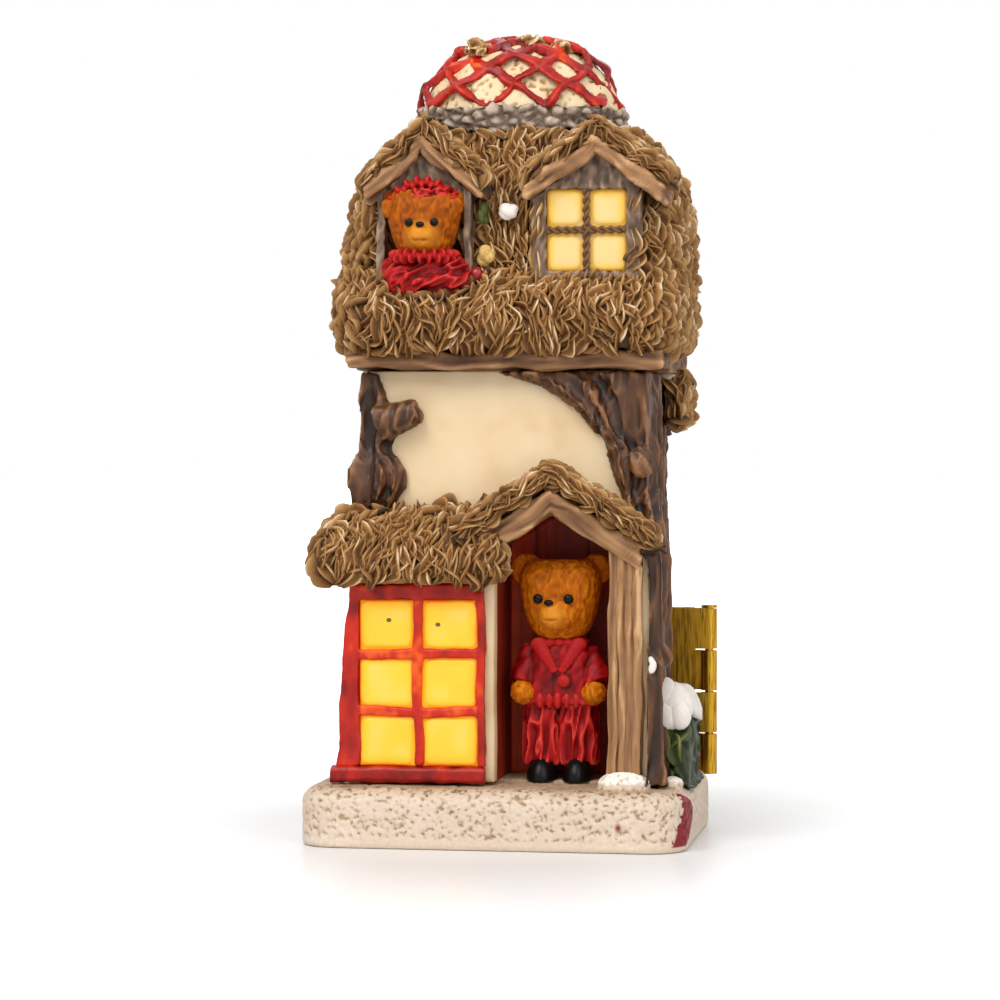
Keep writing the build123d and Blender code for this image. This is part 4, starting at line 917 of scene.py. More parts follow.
def ellipsoid(
    work: bmesh.types.BMesh, centre: Vector, radii: Vector, turn: Matrix | None = None, rings: int = 12
) -> None:
    """Adds an ellipsoid to a working mesh.

    Args:
        work: The working mesh.
        centre: Its middle.
        radii: Its three radii.
        turn: A rotation applied before it is moved.
        rings: How many rings of faces it has.
    """
    turned = Matrix.Translation(centre) @ (turn or Matrix.Identity(3)).to_4x4()
    matrix = turned @ Matrix.Diagonal(radii).to_4x4()
    bmesh.ops.create_uvsphere(work, u_segments=rings * 2, v_segments=rings, radius=1.0, matrix=matrix)


def on_arc(x: float, y: float, z: float, wide: float, deep: float, angle: float) -> Vector:
    """A place on a level arc that bulges to the front.

    Args:
        x: Middle of the arc, across.
        y: Middle of the arc, in depth.
        z: Height of the arc.
        wide: Its reach to each side.
        deep: Its reach to the front.
        angle: Where on the arc, from its foremost place.

    Returns:
        The place.
    """
    return Vector((x + wide * math.sin(angle), y - deep * math.cos(angle), z))


def mesh_from(work: bmesh.types.BMesh, name: str) -> bpy.types.Object:
    """Turns a working mesh into an object and frees it.

    Args:
        work: The working mesh.
        name: Name of the object.

    Returns:
        The object.
    """
    mesh = bpy.data.meshes.new(name)
    work.to_mesh(mesh)
    work.free()
    return new_object(name, mesh)


@dataclass
class StrandCover:
    """Curled flakes of modelling clay spread over a surface by a node tree."""

    name: str = "thatch"
    length: float = 4.2 * MM
    width: float = 2.0 * MM
    height: float = 0.95
    arch: float = 0.9 * MM
    sway: float = 0.75 * MM
    spacing: float = 1.32 * MM
    crowd: float = 5.0
    turn: float = 0.5
    variants: int = 9
    segments: int = 6
    seed: int = 11
    tints: tuple[float, float] = (-0.14, 0.18)
    smallest: tuple[float, float, float] = (0.75, 0.7, 0.7)
    largest: tuple[float, float, float] = (1.25, 1.3, 1.35)

    def strand_mesh(self, index: int) -> bpy.types.Mesh:
        """One curled flake, lying along +Y like a trough whose rims stand up towards +Z.

        Args:
            index: Which variant, which sets its curl.

        Returns:
            The flake's mesh, with its relief.
        """
        rng = np.random.default_rng(self.seed + index)
        bend = rng.uniform(0.4, 1.3) * rng.choice((-1, 1))
        phase = rng.uniform(-0.5, 0.5)
        waves = rng.uniform(0.45, 0.9)
        verts: list[tuple[float, float, float]] = []
        relief: list[float] = []
        for step in range(self.segments + 1):
            share = step / self.segments
            x = self.sway * bend * math.sin(2 * math.pi * (waves * share + phase))
            y = self.length * (share - 0.5)
            z = self.arch * (math.sin(math.pi * (0.1 + 0.7 * share)) - 0.7)
            full = math.sin(math.pi * (0.08 + 0.84 * share))
            half = self.width / 2 * (0.35 + 0.65 * full)
            top = half * self.height * (0.55 + 0.6 * full)
            hollow = 0.2 + 0.26 * share
            # Each ring point gives across, height and tone: the raised rims are lighter, partly dry-brush
            # and partly painted highlight; the trough between them and the low outer edges are darker, as
            # painted shade in and beneath the flake.
            ring = (
                (-1.0, -0.9, 0.02),
                (-0.85, 1.0 + 0.35 * bend, 0.84),
                (-0.6, 0.85 + 0.35 * bend, 0.74),
                (-0.3, 0.2 + 0.2 * bend, 0.42),
                (0.15, 0.0 - 0.1 * bend, hollow),
                (0.55, 0.5 - 0.35 * bend, 0.48),
                (0.85, 0.9 - 0.35 * bend, 0.78),
                (1.0, -0.9, 0.02),
            )
            for across, high, tone in ring:
                verts.append((x + across * half, y, z + high * top))
                relief.append(tone * (0.7 + 0.3 * full))
        faces: list[tuple[int, ...]] = []
        count = len(ring)
        for step in range(self.segments):
            for side in range(count):
                a = step * count + side
                b = step * count + (side + 1) % count
                faces.append((a, b, b + count, a + count))
        last = self.segments * count
        faces.append(tuple(range(count - 1, -1, -1)))
        faces.append(tuple(range(last, last + count)))
        mesh = bpy.data.meshes.new(f"{self.name}_flake_{index}")
        mesh.from_pydata(verts, [], faces)
        mesh.update()
        store(mesh, "relief", np.array(relief))
        return mesh

    def strands(self) -> bpy.types.Collection:
        """Makes all variants.

        Returns:
            A collection of them that no scene shows.
        """
        group = bpy.data.collections.new(f"{self.name}_flakes")
        for index in range(self.variants):
            group.objects.link(bpy.data.objects.new(f"{self.name}_flake_{index}", self.strand_mesh(index)))
        return group

    def tree(self, group: bpy.types.Collection, material: bpy.types.Material) -> bpy.types.NodeTree:
        """The node tree that spreads the strands.

        Args:
            group: The strand variants.
            material: Finish of the strands and of the surface.

        Returns:
            The tree, with inputs for the spacing, the scale and the seed.
        """
        tree = bpy.data.node_groups.new(f"{self.name}_cover", "GeometryNodeTree")
        tree.interface.new_socket("Geometry", in_out="INPUT", socket_type="NodeSocketGeometry")
        tree.interface.new_socket("Spacing", in_out="INPUT", socket_type="NodeSocketFloat")
        tree.interface.new_socket("Scale", in_out="INPUT", socket_type="NodeSocketVector")
        tree.interface.new_socket("Seed", in_out="INPUT", socket_type="NodeSocketInt")
        tree.interface.new_socket("Geometry", in_out="OUTPUT", socket_type="NodeSocketGeometry")
        add = tree.nodes.new
        link = tree.links.new
        inlet = add("NodeGroupInput")
        outlet = add("NodeGroupOutput")
        cover = add("GeometryNodeInputNamedAttribute")
        cover.data_type = "FLOAT"
        cover.inputs["Name"].default_value = "cover"
        spread = add("GeometryNodeDistributePointsOnFaces")
        spread.distribute_method = "POISSON"
        spread.inputs["Density Max"].default_value = self.crowd / self.spacing**2
        link(inlet.outputs["Spacing"], spread.inputs["Distance Min"])
        link(cover.outputs["Attribute"], spread.inputs["Density Factor"])
        link(inlet.outputs["Geometry"], spread.inputs["Mesh"])
        link(inlet.outputs["Seed"], spread.inputs["Seed"])
        flow = add("GeometryNodeInputNamedAttribute")
        flow.data_type = "FLOAT_VECTOR"
        flow.inputs["Name"].default_value = "flow"
        upright = add("FunctionNodeAlignRotationToVector")
        upright.axis = "Z"
        link(spread.outputs["Normal"], upright.inputs["Vector"])
        along = add("FunctionNodeAlignRotationToVector")
        along.axis = "Y"
        along.pivot_axis = "Z"
        link(upright.outputs["Rotation"], along.inputs["Rotation"])
        link(flow.outputs["Attribute"], along.inputs["Vector"])
        angle = self.random_value(tree, "FLOAT", -self.turn, self.turn, 1)
        spin = add("FunctionNodeAxisAngleToRotation")
        spin.inputs["Axis"].default_value = (0, 0, 1)
        link(angle, spin.inputs["Angle"])
        turned = add("FunctionNodeRotateRotation")
        turned.rotation_space = "LOCAL"
        link(along.outputs["Rotation"], turned.inputs["Rotation"])
        link(spin.outputs["Rotation"], turned.inputs["Rotate By"])
        size = self.random_value(tree, "FLOAT_VECTOR", self.smallest, self.largest, 2)
        grown = add("ShaderNodeVectorMath")
        grown.operation = "MULTIPLY"
        link(size, grown.inputs[0])
        link(inlet.outputs["Scale"], grown.inputs[1])
        source = add("GeometryNodeCollectionInfo")
        source.inputs["Collection"].default_value = group
        source.inputs["Separate Children"].default_value = True
        source.inputs["Reset Children"].default_value = True
        scatter = add("GeometryNodeInstanceOnPoints")
        scatter.inputs["Pick Instance"].default_value = True
        link(spread.outputs["Points"], scatter.inputs["Points"])
        link(source.outputs["Instances"], scatter.inputs["Instance"])
        link(turned.outputs["Rotation"], scatter.inputs["Rotation"])
        link(grown.outputs["Vector"], scatter.inputs["Scale"])
        tinted = add("GeometryNodeStoreNamedAttribute")
        tinted.data_type = "FLOAT"
        tinted.domain = "INSTANCE"
        tinted.inputs["Name"].default_value = "tint"
        link(scatter.outputs["Instances"], tinted.inputs["Geometry"])
        link(self.random_value(tree, "FLOAT", *self.tints, 3), tinted.inputs["Value"])
        whole = add("GeometryNodeRealizeInstances")
        joined = add("GeometryNodeJoinGeometry")
        coat = add("GeometryNodeSetMaterial")
        coat.inputs["Material"].default_value = material
        link(tinted.outputs["Geometry"], whole.inputs["Geometry"])
        link(inlet.outputs["Geometry"], joined.inputs["Geometry"])
        link(whole.outputs["Geometry"], joined.inputs["Geometry"])
        link(joined.outputs["Geometry"], coat.inputs["Geometry"])
        link(coat.outputs["Geometry"], outlet.inputs["Geometry"])
        return tree

    @staticmethod
    def random_value(
        tree: bpy.types.NodeTree, kind: str, low: float | tuple, high: float | tuple, seed: int
    ) -> bpy.types.NodeSocket:
        """Adds a random value node.

        Args:
            tree: The tree.
            kind: FLOAT or FLOAT_VECTOR.
            low: Lowest value.
            high: Highest value.
            seed: Fixed seed.

        Returns:
            The output that holds the value.
        """
        node = tree.nodes.new("FunctionNodeRandomValue")
        node.data_type = kind
        kinds = {"FLOAT": "VALUE", "FLOAT_VECTOR": "VECTOR"}
        ends = [s for s in node.inputs if s.type == kinds[kind]]
        ends[0].default_value = low
        ends[1].default_value = high
        node.inputs["Seed"].default_value = seed
        return next(s for s in node.outputs if s.type == kinds[kind])

    def apply(
        self,
        obj: bpy.types.Object,
        tree: bpy.types.NodeTree,
        seed: int,
        wide: float = 1.0,
        scale: tuple[float, float, float] = (1.0, 1.0, 1.0),
    ) -> bpy.types.Object:
        """Covers an object and turns the result into a plain mesh.

        Args:
            obj: The object, with its cover and flow attributes.
            tree: The strand tree.
            seed: Seed of this object's spread.
            wide: How much wider than usual the flakes stand apart.
            scale: Their width, length and height against the usual ones.

        Returns:
            The same object.
        """
        modifier = obj.modifiers.new("strands", "NODES")
        modifier.node_group = tree
        names = {item.name: item.identifier for item in tree.interface.items_tree if item.in_out == "INPUT"}
        modifier[names["Spacing"]] = wide * self.spacing
        modifier[names["Scale"]] = scale
        modifier[names["Seed"]] = seed
        return baked(obj)


def downhill(points: np.ndarray, normals: np.ndarray, noise: ClayNoise) -> np.ndarray:
    """The direction that thatch combs to at each point.

    Args:
        points: Places.
        normals: Their normals.
        noise: Noise that lets the strands swirl.

    Returns:
        One direction for each place.
    """
    swirl = np.stack([noise.value(points / (4 * MM) + shift) for shift in (0.0, 31.7, 63.1)], axis=1)
    fall = -UP + 0.6 * swirl
    return fall - normals * np.sum(fall * normals, axis=1)[:, None]


@dataclass
class ThatchWork:
    """All thatched pieces: a lumpy clay bed, painted dark as painted shade between the flakes, under curled
    strands.
    """

    paints: Paintbox
    voxel: float = 0.7 * MM
    bed_depth: float = 0.9 * MM
    bed_size: float = 2.6 * MM
    sink: float = 0.5 * MM
    gables: dict[str, float] = field(
        default_factory=lambda: {
            "porch_thatch": 0.62,
            "left_dormer_thatch": 0.88,
            "right_dormer_thatch": 0.69,
        }
    )
    pieces: tuple[tuple[str, float], ...] = (
        ("eave_thatch", 1.11),
        ("roof_thatch", 1.13),
        ("left_dormer_thatch", 0.8),
        ("right_dormer_thatch", 0.8),
        ("porch_thatch", 0.8),
        ("bay_thatch", 1.0),
        ("side_hood", 1.0),
        ("crown_tuft", 1.0),
        ("right_dormer_frame", 1.0),
    )
    framed: str = "right_dormer_frame"
    slender: tuple[float, float, float] = (0.62, 0.9, 0.8)
    ring_insets: dict[str, float] = field(
        default_factory=lambda: {"eave_thatch": 13.0 * MM, "roof_thatch": 5.5 * MM}
    )
    ring_settles: dict[str, float] = field(
        default_factory=lambda: {"eave_thatch": 0.4 * MM, "roof_thatch": 1.0 * MM}
    )
    settle_top: float = 2.5 * MM
    settle_band: float = 1.5 * MM
    frame_depth: float = 0.2 * MM
    bay_rim: float = 1.6 * MM
    pane_margin: float = 1.0 * MM
    level: float = 0.8
    underside: float = -0.75
    bed_seed: int = 40

    def build(self) -> None:
        """Makes each thatched piece in turn, the last one over the rim of the lit dormer's front."""
        cover = StrandCover()
        tree = cover.tree(cover.strands(), self.paints(Paint.THATCH))
        for index, (node, wide) in enumerate(self.pieces):
            bed = self.bed(node, index)
            if node == self.framed:
                self.bare(bed)
            scale = self.slender if node in self.gables else (1.0, 1.0, 1.0)
            cover.apply(bed, tree, index + 1, wide, scale)
            self.paints.dress(bed, Paint.THATCH, () if node == self.framed else (node,))

    def bed(self, node: str, seed: int) -> bpy.types.Object:
        """The clay bed of one piece, a little inside its solid.

        Args:
            node: The thatched node.
            seed: Seed of its lumps.

        Returns:
            The bed, with its cover and flow.
        """
        noise = ClayNoise(self.bed_seed + seed)
        bed = clay_copy(f"{node}_strands", (node,), self.voxel, 2)
        points = points_of(bed.data)
        lumps = noise.lumps(points / self.bed_size)
        depth = self.frame_depth if node == self.framed else self.bed_depth
        model_clay(bed, depth, lumps, lift=0.5 + self.sink / depth)
        mesh = bed.data
        points = points_of(mesh)
        low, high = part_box(node)
        if node in self.ring_settles:
            bottom = np.clip((low.z + self.settle_top - points[:, 2]) / self.settle_band, 0, 1)
            points[:, 2] -= self.ring_settles[node] * bottom
            move(mesh, points)
        normals = normals_of(mesh)
        lumps = noise.lumps(points / self.bed_size)
        # The bed between the flakes is painted dark, as painted shade in the crevices; where no flakes grow
        # it is painted lighter.
        relief = 0.12 + 0.22 * (node in self.gables) + 0.2 * lumps
        smooth = np.full(len(points), node == "crown_tuft")
        if node == "bay_thatch":
            smooth = points[:, 2] < low.z + self.bay_rim
        store(mesh, "relief", np.where(smooth, relief + 0.4, relief))
        under = normals[:, 2] < self.underside
        inside = self.hidden(node, points, normals)
        pane_low, pane_high = (np.array(corner)[::2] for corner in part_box("dormer_panes"))
        behind = within(points[:, ::2], pane_low - self.pane_margin, pane_high + self.pane_margin)
        behind &= points[:, 1] < 0
        store(mesh, "cover", np.where(under | inside | smooth | behind, 0.0, 1.0))
        flow = downhill(points, normals, noise)
        if node in self.gables:
            side = np.sign(points[:, 0] - (low.x + high.x) / 2)
            slope = np.stack([side, 0 * side, -self.gables[node] * np.ones(len(side))], axis=1)
            flow = slope + 0.25 * flow
        store(mesh, "flow", flow)
        return bed

    @staticmethod
    def bare(bed: bpy.types.Object) -> None:
        """Takes away what carries no flakes.

        Args:
            bed: A bed with its cover.
        """
        cover = np.empty(len(bed.data.vertices), np.float32)
        bed.data.attributes["cover"].data.foreach_get("value", cover)
        work = bmesh.new()
        work.from_mesh(bed.data)
        bmesh.ops.delete(work, geom=[vert for vert in work.verts if cover[vert.index] == 0], context="VERTS")
        work.to_mesh(bed.data)
        work.free()

    def hidden(self, node: str, points: np.ndarray, normals: np.ndarray) -> np.ndarray:
        """Which points of a bed face into the house, where no strand belongs.

        Args:
            node: The thatched node.
            points: The bed's points.
            normals: Their normals.

        Returns:
            One flag for each point.
        """
        if node in self.ring_insets:
            low, high = (np.array(corner)[:2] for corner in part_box(node))
            inset = self.ring_insets[node]
            inward = np.sum((points[:, :2] - (low + high) / 2) * normals[:, :2], axis=1) < 0
            boxed = within(points[:, :2], low + inset, high - inset)
            flat_end = np.abs(normals[:, 2]) > self.level
            if node == "roof_thatch":
                crown_low, crown_high = (np.array(corner)[:2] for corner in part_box("crown_stones"))
                flat_end &= within(points[:, :2], crown_low, crown_high) | (normals[:, 2] < 0)
                inward &= np.abs(normals[:, 2]) < self.level
            return boxed & (inward | flat_end)
        if node == self.framed:
            pane_low, pane_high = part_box("dormer_panes")
            beside = (points[:, 0] < pane_low.x - 1.3 * MM) | (points[:, 0] > pane_high.x + 1.3 * MM)
            below = points[:, 2] < pane_low.z - 0.6 * MM
            return ~(beside | below) | (points[:, 2] > pane_high.z - 1.5 * MM) | (normals[:, 1] > -0.3)
        if node == "side_hood":
            return normals[:, 0] < -0.3
        return normals[:, 1] > 0.6


@dataclass
class SnowBase:
    """The pitted snow slab, its drifts, its red corner patch and its red spot."""

    paints: Paintbox
    voxel: float = 0.25 * MM
    depth: float = 0.8 * MM
    lump_size: float = 6.0 * MM
    pit_size: float = 0.55 * MM
    dent_size: float = 1.9 * MM
    drift_rise: float = 0.8 * MM
    lift: float = 0.8
    slim: float = 0.42
    patch_front: float = -19.0 * MM
    patch_low: float = 1.0 * MM
    patch_high: float = 10.0 * MM
    indoor_margin: float = 2.0 * MM
    doorstep: float = 6.0 * MM

    def build(self) -> None:
        """Makes the base."""
        noise = ClayNoise(3)
        base = clay_copy("snow_base_skin", ("snow_base",), self.voxel, 4)
        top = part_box("house_shell")[0].z
        inner_low, inner_high = (np.array(corner)[:2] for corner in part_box("house_shell"))
        askew = np.array(Matrix.Rotation(0.8, 3, Vector((1.0, 0.6, 0.35))))
        points = points_of(base.data)
        normals = normals_of(base.data)
        lumps = noise.fractal(points / self.lump_size, 2)
        edge = np.clip((points[:, 2] - 1.2 * MM) / (1.0 * MM), 0, 1)
        pits = np.clip(noise.fractal(points @ askew / self.pit_size, 2) * 2.9 - 0.3, 0, 1) * edge
        dents = np.clip(noise.fractal(points / self.dent_size, 2) * 2 - 0.4, 0, 1) * edge
        flat = np.clip(normals[:, 2], 0, 1) ** 2 * (points[:, 2] > top - 2.0 * MM)
        drift = np.clip((points[:, 2] - top) / self.drift_rise, 0, 1)
        shape = 0.76 + 0.12 * lumps - 0.46 * pits - 0.12 * dents - 0.42 * flat * (1 - drift) + 0.3 * drift
        margin = self.indoor_margin
        inner = within(points[:, :2], inner_low + margin, inner_high - margin)
        plain = (normals[:, 2] < -0.6) | (inner & (points[:, 1] > inner_low[1] + self.doorstep))
        model_clay(base, self.depth, np.where(plain, self.lift, shape), lift=self.lift)
        points = points_of(base.data)
        points[:, 2] = np.maximum(points[:, 2], 0)
        move(base.data, points)
        thinner = base.modifiers.new("thinner", "DECIMATE")
        thinner.ratio = self.slim
        mesh = baked(base).data
        points = points_of(mesh)
        relief = np.empty(len(points), np.float32)
        mesh.attributes["relief"].data.foreach_get("value", relief)
        indoors = within(points[:, :2], inner_low, inner_high)
        indoors &= np.abs(points[:, 2] - top) < 0.6 * MM
        store(mesh, "relief", np.where(indoors, 0.3, relief))
        store(mesh, "accent", self.red_patch(points, noise))
        self.paints.dress(base, Paint.SNOW, ("snow_base",))

    def red_patch(self, points: np.ndarray, noise: ClayNoise) -> np.ndarray:
        """A leaf of red paint on the right front corner, and one small red spot.

        Args:
            points: The base's points.
            noise: Noise that wavers the patch's edge.

        Returns:
            How red each point is.
        """
        low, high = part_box("snow_base")
        up = np.clip((points[:, 2] - self.patch_low) / (self.patch_high - self.patch_low), 0, 1)
        back = self.patch_front + (-2.5 + 10.5 * np.sin(np.pi * np.clip(up, 0.02, 0.98)) ** 0.8) * MM
        fore = self.patch_front + (-5.0 + 3.6 * up) * MM
        wander = noise.value(points / (1.6 * MM)) * 0.5 * MM
        inside = np.minimum(points[:, 1] - fore, back - points[:, 1]) + wander
        at_corner = (points[:, 0] > high.x - 2.6 * MM) & (up > 0.01) & (up < 0.99)
        leaf = np.where(at_corner, np.clip(inside / (0.25 * MM) + 0.5, 0, 1), 0)
        spot = np.array([high.x - 11 * MM, low.y, 4.4 * MM])
        far = np.linalg.norm((points - spot) * np.array([1.0, 0.5, 0.8]), axis=1)
        return np.maximum(leaf, np.clip(1.3 - far / (0.6 * MM), 0, 1))


@dataclass
class Walls:
    """The plastered walls, the door lining, the shop window and all lit panes."""

    paints: Paintbox
    plaster_voxel: float = 0.6 * MM
    plaster_depth: float = 0.35 * MM
    plaster_size: float = 6.0 * MM
    frame_voxel: float = 0.28 * MM
    pane_voxel: float = 0.3 * MM
    pane_depth: float = 0.08 * MM
    pane_rim: float = 4.0 * MM
    frame_depth: float = 0.7 * MM
    frame_bend: float = 0.35 * MM
    frame_bend_size: float = 9.0 * MM
    brush_marks: tuple[float, float, float] = (2.2, 1.2, 3.4)
    plank_voxel: float = 0.4 * MM
    plank_depth: float = 0.3 * MM
    plank_grain: tuple[float, float, float] = (0.7, 0.7, 9.0)
    plank_width: float = 4.6 * MM
    pane_overlap: float = 0.5 * MM
    flaws: tuple[tuple[float, float], ...] = ((-17.9 * MM, 38.5 * MM), (-9.4 * MM, 37.8 * MM))

    def build(self) -> None:
        """Makes the walls and what is set in them."""
        self.plaster()
        self.lining()
        self.window()
        self.panes("shop_window_panes", 2, 3, 0.0, FINISHES[Paint.LIT_PANE])
        self.panes("dormer_panes", 2, 2, 0.2, PALE_GLOWING_GLASS)
        self.specks()

    def plaster(self) -> None:
        """The walls, faintly uneven as if trowelled."""
        noise = ClayNoise(5)
        shell = clay_copy("plaster_walls", ("house_shell",), self.plaster_voxel, 1)
        points = points_of(shell.data)
        trowelled = 0.68 + 0.3 * noise.fractal(points / self.plaster_size)
        model_clay(shell, self.plaster_depth, trowelled, lift=0.8)
        self.paints.dress(shell, Paint.PLASTER, ("house_shell",))

    def lining(self) -> None:
        """The plank lining, with painted warm light from the window side."""
        noise = ClayNoise(6)
        lining = clay_copy("doorway_planks", ("doorway_lining",), self.plank_voxel)
        low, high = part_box("doorway_lining")
        points = points_of(lining.data)
        streaks = noise.fractal(points / (np.array(self.plank_grain) * MM), 3)
        near_window = 1 - (points[:, 0] - low.x) / (high.x - low.x)
        gaps = np.abs(points[:, 0] / self.plank_width % 1 - 0.5) > 0.46
        # Painted light from the shop window: the planks nearest it are painted brighter and more orange.
        glow = 0.38 * np.clip(near_window * 2.2 - 1.2, 0, 1)
        grain = 0.42 + 0.24 * streaks + glow - 0.4 * gaps
        model_clay(lining, self.plank_depth, grain)
        self.paints.dress(lining, Paint.PLANKS, ("doorway_lining",))

    def window(self) -> None:
        """The red window frame and sill, brushed unevenly, with the bars between the panes painted lighter
        and more orange as painted glow from the lit panes.
        """
        noise = ClayNoise(7)
        pane_low, pane_high = (np.array(corner)[::2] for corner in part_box("shop_window_panes"))
        for node, tone in (("shop_window_frame", 0.54), ("shop_window_sill", 0.42)):
            timber = clay_copy(f"{node}_paint", (node,), self.frame_voxel, 4)
            waver(timber, noise, self.frame_bend_size, self.frame_bend)
            points = points_of(timber.data)
            # The bars between the lit panes are painted lighter and more orange, as painted glow from the
            # panes.
            bars = within(points[:, ::2], pane_low, pane_high)
            marks = noise.fractal(points / (np.array(self.brush_marks) * MM))
            brushed = tone + 0.26 * bars + 0.45 * marks
            model_clay(timber, self.frame_depth, brushed, lift=0.55)
            self.paints.dress(timber, Paint.RED_TIMBER, (node,))

    def panes(self, node: str, columns: int, rows: int, paler: float, glass: WashPaint) -> None:
        """The lit panes, glowing with painted lamp light: bright in the middle and amber at the rims.

        Args:
            node: The node of the panes.
            columns: How many panes stand side by side.
            rows: How many panes stand above each other.
            paler: How much paler they are.
            glass: Their finish.
        """
        noise = ClayNoise(8)
        panes = clay_copy(f"{node}_glow", (node,), self.pane_voxel, 3)
        low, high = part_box(node)
        points = points_of(panes.data)
        normals = normals_of(panes.data)
        rim = np.full(len(points), 1.0)
        for axis, count in ((0, columns), (2, rows)):
            size = (high[axis] - low[axis]) / count
            share = (points[:, axis] - low[axis]) / size
            edge = np.abs(share - np.floor(share) - 0.5) * 2
            rim = np.minimum(rim, (1 - edge) * size / self.pane_rim)
        # Painted lamp light: the front faces glow, brightest in the middle of each pane and fading to amber
        # at its rims; faces turned away stay deep amber.
        facing = np.clip(-normals[:, 1], 0, 1)
        drift = noise.fractal(points / (5 * MM), 2)
        glow = 0.04 + paler + facing * (0.6 * np.clip(rim, 0, 1) ** 0.7 + 0.14 * drift)
        model_clay(panes, self.pane_depth, glow)
        middle = (np.array(low) + np.array(high)) / 2
        grow = 1 + self.pane_overlap / (np.array(high) - np.array(low)) * np.array([1.0, 0.0, 1.0])
        move(panes.data, middle + (points_of(panes.data) - middle) * grow)
        self.paints.dress(panes, Paint.LIT_PANE, (node,), glass)

    def specks(self) -> None:
        """Two dark flaws in the upper panes of the shop window."""
        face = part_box("shop_window_panes")[0].y
        work = bmesh.new()
        for across, up in self.flaws:
            ellipsoid(work, Vector((across, face + 0.1 * MM, up)), Vector((0.55, 0.2, 0.45)) * MM, rings=8)
        obj = mesh_from(work, "shop_pane_flaws")
        self.paints.dress(obj, Paint.LIT_PANE, finish=PlainPaint("pane_flaw", paint(96, 84, 24)))


@dataclass(frozen=True)
class Timber:
    """How one timber is carved.

    Its grain is in millimetres along each axis. The pitch is the slope of a gable's timbers,
    the bend and the swell say how far it wavers and stands out.
    """

    node: str
    grain: tuple[float, float, float] = (6.0, 2.0, 0.9)
    depth: float = 0.6 * MM
    voxel: float = 0.32 * MM
    tone: float = 0.0
    pitch: float = 0.0
    bend: float = 0.0
    swell: float = 0.0
    finish: WashPaint | None = None


